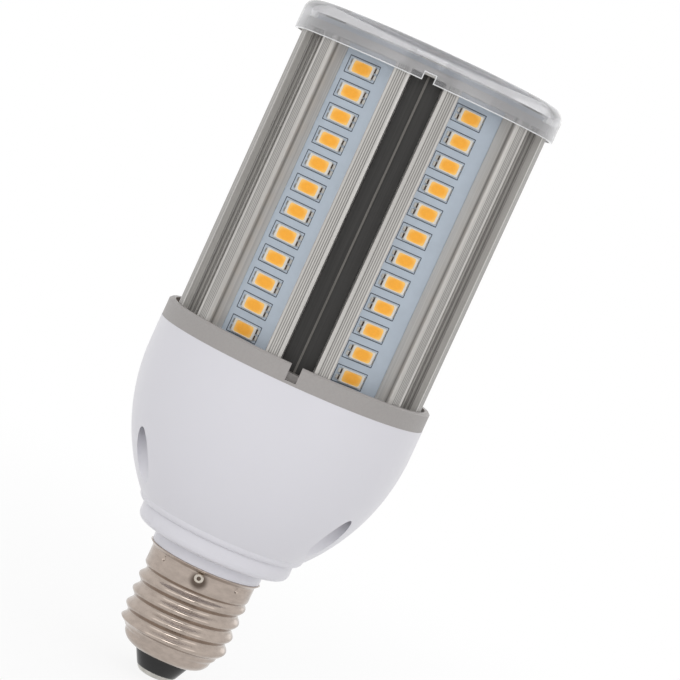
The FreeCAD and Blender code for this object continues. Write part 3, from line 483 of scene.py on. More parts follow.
# Nickel-plated brass, deep drawn and rolled: warm, mirror-like, with faint smears along the drawing
# direction and a dark brown patch round the soldered pin.
NICKEL_PLATE = PatchedPlate("nickel_plate", "B6A99F", metallic=1.0, roughness=0.2, grain=(2.5, 2.5, 1.2),
                            tone=0.14, rough_spread=0.07)
# Bright nickel on the small pin, fresh from turning.
BRIGHT_PIN = Finish("bright_nickel_pin", "D2CABF", metallic=1.0, roughness=0.25, grain=(0.6, 0.6, 0.6),
                    tone=0.08)
# Glass of the cap's insulator: black with a full gloss.
CAP_GLASS = Finish("black_cap_glass", "0B0B0C", roughness=0.12, grain=(2.0, 2.0, 2.0), tone=0.2,
                       rough_spread=0.04, relief=0.01)
# Solder-tinned contact: soft grey metal, slightly uneven.
CONTACT_TIN = Finish("contact_tin", "C6C4BE", metallic=1.0, roughness=0.28, grain=(1.2, 1.2, 1.2), tone=0.15,
                     rough_spread=0.1, relief=0.02)
# Clear polycarbonate of the end cover: glassy, slightly milky where it is seen edge on, with a painted
# highlight along its skirt's lower edge and round its front notch.
CLEAR_COVER = ClearPlastic("clear_polycarbonate", "D8D8DA", roughness=0.06, grain=(8.0, 8.0, 8.0), tone=0.0,
                           rough_spread=0.02)
# Zinc-plated steel of the screws: bright plain metal with a fine spangle.
ZINC_STEEL = Finish("zinc_plated_steel", "B8B8B4", metallic=1.0, roughness=0.3, grain=(0.6, 0.6, 0.6),
                    tone=0.1)
# Black nylon of the small connectors: dull, with the mould's fine grain.
BLACK_NYLON = Finish("black_nylon", "2A2A2C", roughness=0.5, grain=(0.6, 0.6, 0.6), tone=0.15, relief=0.004)
# Glass-fibre board with green mask, its weave faintly in the surface.
GREEN_BOARD = Finish("green_glass_fibre_board", "1E5A34", roughness=0.35, grain=(0.6, 0.6, 0.6), tone=0.2,
                     relief=0.004)
# Sintered ferrite, matt and grainy.
FERRITE = Finish("sintered_ferrite", "2B2A2B", roughness=0.7, grain=(0.3, 0.3, 0.3), tone=0.3, relief=0.01)
# Polyester tape round the winding: a smooth yellow gloss.
POLYESTER_TAPE = Finish("polyester_tape", "D9B02F", roughness=0.25, grain=(6.0, 6.0, 0.6), tone=0.1,
                        relief=0.01)
# Shrink sleeve of the capacitors: dark, tight and glossy.
SHRINK_SLEEVE = Finish("shrink_sleeve", "1B1E28", roughness=0.25, grain=(2.0, 2.0, 2.0), tone=0.2)
# Enamelled copper wire: a red gloss, ridged turn by turn.
ENAMELLED_COPPER = Finish("enamelled_copper", "B4612B", metallic=1.0, roughness=0.3, grain=(3.0, 0.35, 3.0),
                          tone=0.4, relief=0.03)
# Moulded epoxy of small parts: black and matt.
BLACK_EPOXY = Finish("moulded_epoxy", "232326", roughness=0.45, grain=(0.4, 0.4, 0.4), tone=0.15,
                     relief=0.004)
# Dipped epoxy of the varistor: a blue gloss, slightly wavy.
BLUE_EPOXY = Finish("dipped_epoxy", "28479A", roughness=0.3, grain=(1.0, 1.0, 1.0), tone=0.15, relief=0.02)
# Silicone sleeve of the leads: dull and off-white.
SILICONE_SLEEVE = Finish("silicone_sleeve", "D9D9D6", roughness=0.5, grain=(1.0, 1.0, 1.0), tone=0.06)


# Mesh helpers


def as_mesh(name: str, made: bmesh.types.BMesh) -> bpy.types.Mesh:
    """Turn a working mesh into a plain one and let it go.

    Args:
        name: The new mesh's name.
        made: The working mesh.

    Returns:
        The plain mesh.
    """
    mesh = bpy.data.meshes.new(name)
    made.to_mesh(mesh)
    made.free()
    return mesh


def sheet(name: str, points: Iterable[Sequence[float]]) -> bpy.types.Mesh:
    """Make one flat face.

    Args:
        name: The mesh's name.
        points: Its corners in millimetres.

    Returns:
        The mesh, in metres.
    """
    made = bmesh.new()
    made.faces.new([made.verts.new(Vector(point) * MM) for point in points])
    return as_mesh(name, made)


def rounded_loop(half_x: float, half_y: float, corner: float, z: float, steps: int) -> list[Vector]:
    """Points of a rounded rectangle, in millimetres.

    Args:
        half_x: Half of its length.
        half_y: Half of its width.
        corner: The radius of its corners.
        z: Its height.
        steps: The runs in each corner.

    Returns:
        The points, counter-clockwise seen from above.
    """
    points = []
    for quarter, (sx, sy) in enumerate(((1, 1), (-1, 1), (-1, -1), (1, -1))):
        for i in range(steps + 1):
            angle = math.radians(90 * (quarter + i / steps))
            points.append(Vector((sx * (half_x - corner) + corner * math.cos(angle),
                                  sy * (half_y - corner) + corner * math.sin(angle), z)))
    return points


def loft(name: str, loops: Sequence[Sequence[Vector]], caps: tuple[bool, bool]) -> bpy.types.Mesh:
    """Join loops of equal length into a mesh in metres.

    Args:
        name: The mesh's name.
        loops: The loops, from the first to the last, in millimetres.
        caps: Whether the first and the last loop are closed by a face.

    Returns:
        The mesh.
    """
    made = bmesh.new()
    rows = [[made.verts.new(p * MM) for p in loop] for loop in loops]
    for low, high in zip(rows, rows[1:]):
        for i in range(len(low)):
            j = (i + 1) % len(low)
            made.faces.new((low[i], low[j], high[j], high[i]))
    if caps[0]:
        made.faces.new(rows[0][::-1])
    if caps[1]:
        made.faces.new(rows[-1])
    return as_mesh(name, made)


def turned_mesh(name: str, outline: Outline, segments: int, closed: bool = False) -> bpy.types.Mesh:
    """Turn an outline about the axis.

    Args:
        name: The mesh's name.
        outline: Radius and height of each point from below upwards, in millimetres.
        segments: The steps round the axis.
        closed: Whether flat faces close both ends.

    Returns:
        The turned surface as a mesh in metres.
    """
    angles = [2 * math.pi * i / segments for i in range(segments)]
    loops = [[Vector((r * math.cos(a), r * math.sin(a), z)) for a in angles] for r, z in outline]
    return loft(name, loops, (closed, closed))


def finished(name: str, mesh: bpy.types.Mesh, finishes: Sequence[Finish]) -> bpy.types.Object:
    """Make a piece of the lamp from a mesh and let it ride with the lamp.

    Args:
        name: The piece's name.
        mesh: Its mesh, in place.
        finishes: The finishes of its material slots, or none if the mesh has its own.

    Returns:
        The new object.
    """
    piece = bpy.data.objects.new(name, mesh)
    bpy.context.scene.collection.objects.link(piece)
    for finish in finishes:
        mesh.materials.append(finish.build())
    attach(piece, BODY)
    return piece


# Geometry trees


@dataclass
class GeometryTree:
    """A geometry node tree that is built in steps and then run once on a carrier object."""

    name: str
    inputs: dict[str, Any]
    tree: bpy.types.NodeTree = field(init=False)
    source: bpy.types.Node = field(init=False)

    SOCKET_KINDS = {int: "NodeSocketInt", float: "NodeSocketFloat", bpy.types.Object: "NodeSocketObject"}

    def __post_init__(self) -> None:
        """Open the tree with its named inputs."""
        self.tree = bpy.data.node_groups.new(self.name, "GeometryNodeTree")
        interface = self.tree.interface
        interface.new_socket("Geometry", in_out="INPUT", socket_type="NodeSocketGeometry")
        for name, value in self.inputs.items():
            interface.new_socket(name, in_out="INPUT", socket_type=self.SOCKET_KINDS[type(value)])
        interface.new_socket("Geometry", in_out="OUTPUT", socket_type="NodeSocketGeometry")
        self.source = self.add("NodeGroupInput")

    def add(self, kind: str, sockets: dict | Sequence = (), **settings: Any) -> bpy.types.Node:
        """Add a node to the tree."""
        return add_node(self.tree, kind, sockets, **settings)

    def given(self, name: str) -> bpy.types.NodeSocket:
        """The output of a named input."""
        return self.source.outputs[name]

    def run(self, geometry: bpy.types.Node, mesh: bpy.types.Mesh | None = None) -> bpy.types.Mesh:
        """Close the tree, run it and give its result.

        Args:
            geometry: The node that feeds the tree's output.
            mesh: The mesh that the tree starts from, if it needs one.

        Returns:
            A plain mesh.
        """
        self.add("NodeGroupOutput", {"Geometry": geometry})
        carrier = bpy.data.objects.new(self.name, mesh or bpy.data.meshes.new(self.name))
        bpy.context.scene.collection.objects.link(carrier)
        modifier = carrier.modifiers.new(self.name, "NODES")
        modifier.node_group = self.tree
        for name, value in self.inputs.items():
            modifier[self.tree.interface.items_tree[name].identifier] = value
        graph = bpy.context.evaluated_depsgraph_get()
        made = bpy.data.meshes.new_from_object(carrier.evaluated_get(graph), preserve_all_data_layers=True,
                                               depsgraph=graph)
        carrier.modifiers.clear()
        bpy.data.objects.remove(carrier)
        return made


# LEDs


@dataclass
class LedSite:
    """One LED package with its leads, its solder and the printed outline on the board.

    X runs along the package, Y across it and Z away from the board, which is at Z = 0. Lengths are in
    millimetres.

    Attributes:
        edge: The bevel between a package's top and its sides.
        lead_toe: A lead's height at its outer end, as a share of its height at the package.
        outline_shift: How far the printed outline's middle lies off the package's.
        ink_line: The width of the printed line.
    """

    length: float = 6.1
    width: float = 3.2
    height: float = 0.75
    window_length: float = 5.0
    window_width: float = 2.76
    window_depth: float = 0.07
    window_corner: float = 0.55
    edge: float = 0.12
    corner: float = 0.25
    corner_steps: int = 3
    lead_width: float = 1.0
    lead_gap: float = 0.5
    lead_reach: float = 0.75
    lead_height: float = 0.25
    lead_toe: float = 0.3
    terminal_reach: float = 0.3
    terminal_height: float = 0.5
    outline_length: float = 8.4
    outline_width: float = 4.15
    outline_shift: float = -0.3
    ink_line: float = 0.2
    ink_height: float = 0.02

    def parts(self) -> dict[str, tuple[bpy.types.Object, Finish]]:
        """Each part of the site as a hidden template, with its finish.

        Returns:
            For each part's name, its template and its finish.
        """
        made = {"Body": (self.body(), PACKAGE_WHITE), "Window": (self.window(), PHOSPHOR),
                "Leads": (self.leads(self.lead_reach, self.lead_height), TIN),
                # The terminals' dark brown is painted shade under the package's edge.
                "Terminals": (self.leads(self.terminal_reach, self.terminal_height), TERMINAL_SHADE),
                "Outline": (self.outline(), BOARD_INK)}
        return {name: (self.template(name, mesh), finish) for name, (mesh, finish) in made.items()}

    def template(self, name: str, mesh: bpy.types.Mesh) -> bpy.types.Object:
        """An object that only serves as the pattern of instances."""
        return bpy.data.objects.new(f"site_{name.lower()}", mesh)

    def body(self) -> bpy.types.Mesh:
        """The white package with a rounded edge, open over its window.

        Returns:
            The package's mesh.
        """
        x, y = self.length / 2, self.width / 2
        wx, wy = self.window_length / 2, self.window_width / 2
        lip = self.edge / 2
        shapes = [(x, y, self.corner, 0.0), (x, y, self.corner, self.height - self.edge),
                  (x - self.edge, y - self.edge, self.corner, self.height),
                  (wx, wy, self.window_corner, self.height),
                  (wx - lip, wy - lip, self.window_corner, self.height - self.window_depth)]
        loops = [rounded_loop(*shape, self.corner_steps) for shape in shapes]
        return loft("package_body", loops, (False, False))

    def window(self) -> bpy.types.Mesh:
        """The filled window, a little below the rim.

        Returns:
            The window's mesh.
        """
        wx, wy = self.window_length / 2 - self.edge / 2, self.window_width / 2 - self.edge / 2
        level = self.height - self.window_depth
        loops = [rounded_loop(wx, wy, self.window_corner, z, self.corner_steps)
                 for z in (level - self.window_depth, level)]
        return loft("package_window", loops, (False, True))

    def leads(self, reach: float, top: float) -> bpy.types.Mesh:
        """Two wedges at each end that slope down to the board.

        Args:
            reach: How far they stand out past the package.
            top: Their height at the package.

        Returns:
            The four wedges.
        """
        made = bmesh.new()
        for way in (-1, 1):
            for side in (-1, 1):
                x0, x1 = self.length / 2 - self.edge, self.length / 2 + reach
                y0 = side * self.lead_gap / 2
                y1 = side * (self.lead_gap / 2 + self.lead_width)
                section = [(x0, 0.0), (x1, 0.0), (x1, top * self.lead_toe), ((x0 + x1) / 2, top), (x0, top)]
                ends = [[made.verts.new(Vector((way * x, y, z)) * MM) for x, z in section] for y in (y0, y1)]
                made.faces.new(ends[0])
                made.faces.new(ends[1][::-1])
                for i in range(len(section)):
                    j = (i + 1) % len(section)
                    made.faces.new((ends[0][i], ends[1][i], ends[1][j], ends[0][j]))
        bmesh.ops.recalc_face_normals(made, faces=made.faces)
        return as_mesh("package_leads", made)

    def outline(self) -> bpy.types.Mesh:
        """The printed rectangle round the package.

        Returns:
            The outline's mesh.
        """
        x, y = self.outline_length / 2, self.outline_width / 2
        line = self.ink_line
        shapes = [(x, y, line / 2, 0.0), (x, y, line / 2, self.ink_height),
                  (x - line, y - line, line / 4, self.ink_height), (x - line, y - line, line / 4, 0.0)]
        shift = Vector((self.outline_shift, 0, 0))
        loops = [[p + shift for p in rounded_loop(*shape, 1)] for shape in shapes]
        return loft("site_outline", loops + loops[:1], (False, False))


@dataclass
class LedRows:
    """The LED strips round the heat sink and the ring of LEDs on the top board.

    Attributes:
        site: The package that all of them use.
        count: The packages on a strip.
        first: The lowest package's height in millimetres.
        pitch: The step from one to the next, in millimetres.
        shift: How far they lie off the strip's middle, in millimetres.
        board_face: The distance of a strip's face from the axis, in millimetres.
        ring_count: The packages on the top board.
        ring_place: Their distance from the axis, in millimetres.
        ring_face: The height of the top board's face, in millimetres.
    """

    site: LedSite = field(default_factory=LedSite)
    count: int = 12
    first: float = 84.16
    pitch: float = 5.743
    shift: float = -1.07
    board_face: float = 25.75
    ring_count: int = 6
    ring_place: float = 17.0
    ring_face: float = 154.85

    def build(self) -> list[bpy.types.Object]:
        """Make every strip's LEDs and the ring of LEDs.

        Returns:
            The new pieces.
        """
        parts = self.site.parts()
        made = [self.strip(i, parts) for i in range(PANELS)]
        made.append(self.ring(parts))
        for template, _ in parts.values():
            bpy.data.objects.remove(template)
        return made

    def dressed(self, tree: GeometryTree, parts: dict[str, tuple[bpy.types.Object, Finish]],
                points: bpy.types.Node, rotation: bpy.types.Node, offset: bpy.types.Node) -> bpy.types.Node:
        """Put each part of the site on the points, realize it and give it its material.

        Args:
            tree: The tree that is being built.
            parts: The site's templates and their finishes.
            points: The node that gives the places of the sites.
            rotation: The node that says how each site is turned.
            offset: The node that says where a site lies in its own axes before it is turned.

        Returns:
            The node with the joined geometry.
        """
        branches = []
        for name, (_, finish) in parts.items():
            shape = tree.add("GeometryNodeObjectInfo", {"Object": tree.given(name)}).outputs["Geometry"]
            if name == "Window":
                place = tree.add("GeometryNodeInputPosition")
                shape = tree.add("GeometryNodeStoreNamedAttribute",
                                 {"Geometry": shape, "Name": WINDOW_PLACE, "Value": place},
                                 data_type="FLOAT_VECTOR", domain="POINT")
            moved = tree.add("GeometryNodeTransform", {"Geometry": shape, "Translation": offset})
            placed = tree.add("GeometryNodeInstanceOnPoints",
                              {"Points": points, "Instance": moved, "Rotation": rotation})
            real = tree.add("GeometryNodeRealizeInstances", {"Geometry": placed})
            branches.append(tree.add("GeometryNodeSetMaterial",
                                     {"Geometry": real, "Material": finish.build()}))
        joined = tree.add("GeometryNodeJoinGeometry")
        for branch in branches:
            tree.tree.links.new(branch.outputs[0], joined.inputs[0])
        return joined

    def strip(self, i: int, parts: dict[str, tuple[bpy.types.Object, Finish]]) -> bpy.types.Object:
        """The LEDs of one strip: a column of sites on the board of panel i.

        Args:
            i: The panel's number, counted from 0.
            parts: The site's templates and their finishes.

        Returns:
            The new piece.
        """
        azimuth = PANEL_PITCH * (i + 0.5)
        sizes = {"Count": self.count, "First": self.first * MM, "Pitch": self.pitch * MM,
                 "Shift": self.shift * MM, "Face": self.board_face * MM, "Azimuth": math.radians(azimuth)}
        tree = GeometryTree(f"led_column_{i + 1}", sizes | {name: part for name, (part, _) in parts.items()})
        start = tree.add(COMBINE, {"Z": tree.given("First")})
        step = tree.add(COMBINE, {"Z": tree.given("Pitch")})
        points = tree.add("GeometryNodeMeshLine", {"Count": tree.given("Count"), "Start Location": start,
                                                   "Offset": step})
        offset = tree.add(COMBINE, {"X": tree.given("Shift"), "Z": tree.given("Face")})
        turn = tree.add(COMBINE, {"X": math.pi / 2, "Z": tree.given("Azimuth")})
        column = self.dressed(tree, parts, points, turn, offset)
        piece = finished(f"leds_of_strip_{i + 1}", tree.run(column), ())
        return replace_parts(piece, f"strip_leds_{i + 1}")

    def ring(self, parts: dict[str, tuple[bpy.types.Object, Finish]]) -> bpy.types.Object:
        """The LEDs that face the end cover.

        Args:
            parts: The site's templates and their finishes.

        Returns:
            The new piece.
        """
        sizes = {"Count": self.ring_count, "Place": self.ring_place * MM, "Face": self.ring_face * MM,
                 "Step": 2 * math.pi / self.ring_count}
        tree = GeometryTree("led_ring", sizes | {name: part for name, (part, _) in parts.items()})
        points = tree.add("GeometryNodePoints", {"Count": tree.given("Count")})
        index = tree.add("GeometryNodeInputIndex")
        angle = tree.add(MATHS, (index, tree.given("Step")), operation="MULTIPLY")
        turn = tree.add(COMBINE, {"Z": angle})
        forwards = tree.add(MATHS, (tree.given("Place"), -1.0), operation="MULTIPLY")
        offset = tree.add(COMBINE, {"Y": forwards, "Z": tree.given("Face")})
        ring = self.dressed(tree, parts, points, turn, offset)
        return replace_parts(finished("leds_of_top_board", tree.run(ring), ()), "top_leds")


# Cap


@dataclass
class ScrewCap:
    """The rolled thread of the cap's shell and the dimples that hold it on the neck. Lengths in millimetres.

    Attributes:
        bend: The height of the round edge at the shell's mouth.
        slope: The height in which the shell widens above it.
        crest_height: The height at which the thread's crest passes the azimuth where an angle is 0.
        fade: The height in which the thread runs out at each end.
        dimple_core: The share of a dimple in which it is full.
        row: The height of one row of faces.
    """

    bottom: float = 5.2
    mouth_radius: float = 6.9
    base_radius: float = 10.8
    bend: float = 3.1
    slope: float = 2.2
    radius: float = 12.9
    flare: float = 0.9
    flare_height: float = 0.9
    top: float = 29.4
    wall: float = 0.3
    thread_pitch: float = 3.629
    crest_radius: float = 13.1
    root_radius: float = 12.0
    crest_height: float = 22.7
    thread_bottom: float = 8.6
    thread_top: float = 25.0
    fade: float = 1.9
    dimples: int = 4
    dimple_height: float = 27.6
    dimple_width: float = 0.45
    dimple_tall: float = 0.75
    dimple_depth: float = 0.7
    dimple_core: float = 0.35
    segments: int = 300
    row: float = 0.16
    bend_steps: int = 14

    def outline(self) -> list[tuple[float, float]]:
        """The plain section of the shell from its mouth to its rim.

        Returns:
            Radius and height of each point, from below upwards.
        """
        points = []
        width = self.base_radius - self.mouth_radius
        for i in range(self.bend_steps + 1):
            angle = math.pi / 2 * i / self.bend_steps
            points.append((self.mouth_radius + width * math.sin(angle),
                           self.bottom + self.bend * (1 - math.cos(angle))))
        body = self.bottom + self.bend + self.slope
        flare_start = self.top - self.flare_height
        points += self.run(points[-1], (self.radius, body))
        points += self.run((self.radius, body), (self.radius, flare_start))
        points += self.run((self.radius, flare_start), (self.radius + self.flare, self.top))
        return points

    def run(self, a: tuple[float, float], b: tuple[float, float]) -> list[tuple[float, float]]:
        """Points after a up to b, a row apart."""
        steps = max(1, round(math.dist(a, b) / self.row))
        return [tuple(low + (high - low) * i / steps for low, high in zip(a, b)) for i in range(1, steps + 1)]

    def build(self) -> list[bpy.types.Object]:
        """Roll the thread into the plain shell.

        Returns:
            The new piece.
        """
        sizes = {"Pitch": self.thread_pitch * MM, "Crest": (self.crest_radius - self.radius) * MM,
                 "Root": (self.root_radius - self.radius) * MM, "Crest Height": self.crest_height * MM,
                 "Thread Bottom": self.thread_bottom * MM, "Thread Top": self.thread_top * MM,
                 "Fade": self.fade * MM, "Dimple Step": 2 * math.pi / self.dimples,
                 "Dimple Height": self.dimple_height * MM, "Dimple Width": self.dimple_width * MM,
                 "Dimple Tall": self.dimple_tall * MM, "Dimple Depth": self.dimple_depth * MM,
                 "Radius": self.radius * MM}
        tree = GeometryTree("rolled_thread", sizes)
        x, y, z = tree.add(SEPARATE, (tree.add("GeometryNodeInputPosition"),)).outputs
        angle = tree.add(MATHS, (y, x), operation="ARCTAN2")
        change = tree.add(MATHS, (self.thread(tree, angle, z), self.dimple(tree, angle, z)), operation="ADD")
        outwards = tree.add(VECTOR_MATHS, (tree.add(COMBINE, (x, y)),), operation="NORMALIZE")
        move = tree.add(VECTOR_MATHS, {0: outwards, "Scale": change}, operation="SCALE")
        rolled = tree.add("GeometryNodeSetPosition", {"Geometry": tree.given("Geometry"), "Offset": move})
        real = tree.add("GeometryNodeRealizeInstances", {"Geometry": rolled})
        plated = tree.add("GeometryNodeSetMaterial", {"Geometry": real, "Material": NICKEL_PLATE.build()})
        mesh = tree.run(plated, turned_mesh("plain_shell", self.outline(), self.segments))
        mesh.shade_smooth()
        piece = finished("threaded_shell", mesh, ())
        thicken(piece, self.wall)
        return [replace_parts(piece, "screw_shell")]

    def thread(self, tree: GeometryTree, angle: bpy.types.Node, z: bpy.types.NodeSocket) -> bpy.types.Node:
        """How far the right-hand thread moves a point outwards.

        Args:
            tree: The tree that is being built.
            angle: The node that gives the point's angle round the axis.
            z: The point's height.

        Returns:
            The node that gives the move in metres.
        """
        above = tree.add(MATHS, (z, tree.given("Crest Height")), operation="SUBTRACT")
        climb = tree.add(MATHS, (above, tree.given("Pitch")), operation="DIVIDE")
        turned = tree.add(MATHS, (climb, 2 * math.pi), operation="MULTIPLY")
        phase = tree.add(MATHS, (turned, angle), operation="SUBTRACT")
        cosine = tree.add(MATHS, (phase,), operation="COSINE")
        wave = tree.add(RAMP, {"Value": cosine, "From Min": -1.0, "To Min": tree.given("Root"),
                               "To Max": tree.given("Crest")})
        bottom, top = tree.given("Thread Bottom"), tree.given("Thread Top")
        full_from = tree.add(MATHS, (bottom, tree.given("Fade")), operation="ADD")
        full_to = tree.add(MATHS, (top, tree.given("Fade")), operation="SUBTRACT")
        low = tree.add(RAMP, {"Value": z, "From Min": bottom, "From Max": full_from},
                       interpolation_type="SMOOTHSTEP")
        high = tree.add(RAMP, {"Value": z, "From Min": top, "From Max": full_to},
                        interpolation_type="SMOOTHSTEP")
        inside = tree.add(MATHS, (low, high), operation="MULTIPLY")
        return tree.add(MATHS, (wave, inside), operation="MULTIPLY")

    def dimple(self, tree: GeometryTree, angle: bpy.types.Node, z: bpy.types.NodeSocket) -> bpy.types.Node:
        """How far the nearest dimple moves a point inwards.

        Args:
            tree: The tree that is being built.
            angle: The node that gives the point's angle round the axis.
            z: The point's height.

        Returns:
            The node that gives the move in metres, below 0.
        """
        step = tree.given("Dimple Step")
        steps = tree.add(MATHS, (angle, step), operation="DIVIDE")
        whole = tree.add(MATHS, (steps,), operation="FLOOR")
        nearest = tree.add(MATHS, (whole, 0.5), operation="ADD")
        middle = tree.add(MATHS, (nearest, step), operation="MULTIPLY")
        beside = tree.add(MATHS, (angle, middle), operation="SUBTRACT")
        arc = tree.add(MATHS, (beside, tree.given("Radius")), operation="MULTIPLY")
        across = tree.add(MATHS, (arc, tree.given("Dimple Width")), operation="DIVIDE")
        above = tree.add(MATHS, (z, tree.given("Dimple Height")), operation="SUBTRACT")
        up = tree.add(MATHS, (above, tree.given("Dimple Tall")), operation="DIVIDE")
        reach = tree.add(VECTOR_MATHS, (tree.add(COMBINE, (across, up)),), operation="LENGTH")
        share = tree.add(RAMP, {"Value": reach, "From Min": 1.0, "From Max": self.dimple_core},
                         interpolation_type="SMOOTHSTEP")
        inwards = tree.add(MATHS, (tree.given("Dimple Depth"), -1.0), operation="MULTIPLY")
        return tree.add(MATHS, (share, inwards), operation="MULTIPLY")


@dataclass
class CapEnd:
    """The glass insulator of the cap and the contact in its middle. Lengths in millimetres."""

    insulator: Outline = ((4.3, 1.25), (4.9, 1.35), (5.05, 1.6), (6.85, 5.15), (6.85, 5.6))
    contact: Outline = ((2.4, 0.0), (3.4, 0.07), (4.05, 0.3), (4.5, 0.75), (4.7, 1.25), (4.6, 1.45),
                        (4.2, 1.5))
    segments: int = 96

    def build(self) -> list[bpy.types.Object]:
        """Turn both and let them stand for their solids."""
        return [self.turned("insulator", self.insulator, CAP_GLASS, "insulator"),
                self.turned("centre_contact", self.contact, CONTACT_TIN, "contact")]

    def turned(self, name: str, outline: Outline, finish: Finish, slot: str) -> bpy.types.Object:
        """A turned solid with a smooth side.

        Args:
            name: The solid that it stands for.
            outline: Radius and height of each point.
            finish: Its finish.
            slot: The record's material slot; not used.

        Returns:
            The new piece.
        """
        mesh = turned_mesh(f"{name}_turned", outline, self.segments, closed=True)
        mesh.shade_smooth()
        for face in mesh.polygons:
            face.use_smooth = len(face.vertices) == 4
        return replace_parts(finished(f"{name}_turned", mesh, (finish,)), name)


def thicken(piece: bpy.types.Object, wall: float) -> None:
    """Give an open shell a wall on its inner side, in millimetres, as part of its mesh.

    Args:
        piece: The shell.
        wall: The wall in millimetres.
    """
    modifier = piece.modifiers.new("wall", "SOLIDIFY")
    modifier.thickness = wall * MM
    modifier.offset = -1.0
    settle(piece)


def shade_evenly(piece: bpy.types.Object) -> None:
    """Let the large faces lead the shading, so that thin triangles leave no blotches on round walls.

    Args:
        piece: The piece that is changed.
    """
    modifier = piece.modifiers.new("even_shading", "WEIGHTED_NORMAL")
    modifier.mode = "FACE_AREA"
    modifier.keep_sharp = True
    settle(piece)


def settle(piece: bpy.types.Object) -> None:
    """Make the piece's modifiers a part of its mesh.

    Args:
        piece: The piece that is changed.
    """
    graph = bpy.context.evaluated_depsgraph_get()
    mesh = bpy.data.meshes.new_from_object(piece.evaluated_get(graph), preserve_all_data_layers=True,
                                           depsgraph=graph)
    piece.modifiers.clear()
    piece.data = mesh


# Pieces that keep their solid's shape


class Rounding(Enum):
    """How far apart two faces may lean and still be shaded as one round surface, in degrees."""

    TURNED = 24.0
    SHARP = 12.0


@dataclass
class DressedSolids:
    """The pieces whose solids have the right shape: each gets its finish, and round ones smooth shading.

    Attributes:
        smooth: The pieces that are copied with smooth shading, with their finish, slot and rounding.
        plain: The solids that stay as they are, with their finish.
        front_strip: The distance from the middle plane in which the front strip lies, in millimetres.
        front_rib: Half of its rib's width in millimetres.
        rib_lean: How squarely a face of the rib's top must face the front to get the painted highlight, from
            0 to 1.
    """

    smooth: dict[str, tuple[Finish, str, Rounding]] = field(default_factory=lambda: {
        "housing": (HOUSING_PLASTIC, "housing", Rounding.TURNED),
        "clamp_ring": (RING_LACQUER, "ring", Rounding.TURNED),
        "heat_sink": (EXTRUDED_ALUMINIUM, "heat_sink", Rounding.SHARP),
        "end_plate": (PLATE_ALUMINIUM, "heat_sink", Rounding.SHARP),
        "lens_cover": (CLEAR_COVER, "lens", Rounding.TURNED),
        "shell_pin": (BRIGHT_PIN, "shell", Rounding.TURNED),
        "top_board": (SOLDER_MASK, "board", Rounding.SHARP),
    })
    plain: dict[str, Finish] = field(default_factory=lambda: {
        "board_connectors": BLACK_NYLON, "top_screws": ZINC_STEEL,
        "ring_screws": ZINC_STEEL, "housing_screws": ZINC_STEEL, "driver_board": GREEN_BOARD,
        "transformer_core": FERRITE, "transformer_winding": POLYESTER_TAPE, "input_capacitor": SHRINK_SLEEVE,
        "output_capacitor": SHRINK_SLEEVE, "choke": ENAMELLED_COPPER, "rectifier": BLACK_EPOXY,
        "controller": BLACK_EPOXY, "fuse_resistor": BLACK_EPOXY, "varistor": BLUE_EPOXY,
        "line_wire": SILICONE_SLEEVE, "neutral_wire": SILICONE_SLEEVE, "output_wires": SILICONE_SLEEVE,
    })

    front_strip: float = 6.0
    front_rib: float = 0.2
    rib_lean: float = 0.5

    def build(self, nodes: dict[str, bpy.types.Object]) -> list[bpy.types.Object]:
        """Dress every node that stays, and copy the round ones with smooth shading.

        Args:
            nodes: The lamp's solids by name.

        Returns:
            The dressed solids and the new pieces.
        """
        kept = [self.dress(nodes[name], finish) for name, finish in self.plain.items()]
        kept += [self.dress(nodes[f"led_strip_{i + 1}"], SOLDER_MASK) for i in range(PANELS)]
        made = [self.smoothed(nodes[name], *how) for name, how in self.smooth.items()]
        return [*kept, *made, self.groove_strips(nodes["groove_strips"])]

    def groove_strips(self, node: bpy.types.Object) -> bpy.types.Object:
        """The strips in the grooves: black in front with a painted highlight on its rib, and bare aluminium
        in the others, painted lighter so that the side groove walls that mirror them look lit.

        Args:
            node: The solids of all the strips.

        Returns:
            The new piece.
        """
        mesh = node.data.copy()
        mesh.materials.clear()
        for face in mesh.polygons:
            x, y, _ = face.center
            # The side strips are a lighter copy of the black strip in bare aluminium, painted lighter so that
            # the side groove walls that mirror them look lit.
            if y > 0 or abs(x) > self.front_strip * MM:
                face.material_index = 1
            # The front-facing top of the front rib gets a painted highlight.
            elif abs(x) < self.front_rib * MM and face.normal.y < -self.rib_lean:
                face.material_index = 2
            else:
                face.material_index = 0
        finishes = (BLACK_ANODISED, PLATE_ALUMINIUM, PAINTED_RIB_HIGHLIGHT)
        piece = finished("groove_strips_surface", mesh, finishes)
        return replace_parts(piece, node.name)

    def dress(self, node: bpy.types.Object, finish: Finish) -> bpy.types.Object:
        """Put a finish on a solid that stays as it is.

        Args:
            node: The solid.
            finish: Its finish.

        Returns:
            The solid.
        """
        node.data.materials.clear()
        node.data.materials.append(finish.build())
        return node

    def smoothed(self, node: bpy.types.Object, finish: Finish, slot: str, rounding: Rounding
                 ) -> bpy.types.Object:
        """A copy of a solid whose round faces are shaded as round.

        Args:
            node: The solid.
            finish: Its finish.
            slot: The record's material slot; not used.
            rounding: Which of its edges are shaded as round.

        Returns:
            The new piece.
        """
        made = bmesh.new()
        made.from_mesh(node.data)
        bmesh.ops.remove_doubles(made, verts=made.verts, dist=SAME_PLACE * MM)
        limit = math.radians(rounding.value)
        for face in made.faces:
            face.smooth = True
            face.material_index = 0
        for edge in made.edges:
            edge.smooth = edge.is_manifold and edge.calc_face_angle(math.pi) < limit
        name = f"{node.name}_surface"
        piece = finished(name, as_mesh(name, made), (finish,))
        shade_evenly(piece)
        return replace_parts(piece, node.name)


# Stage


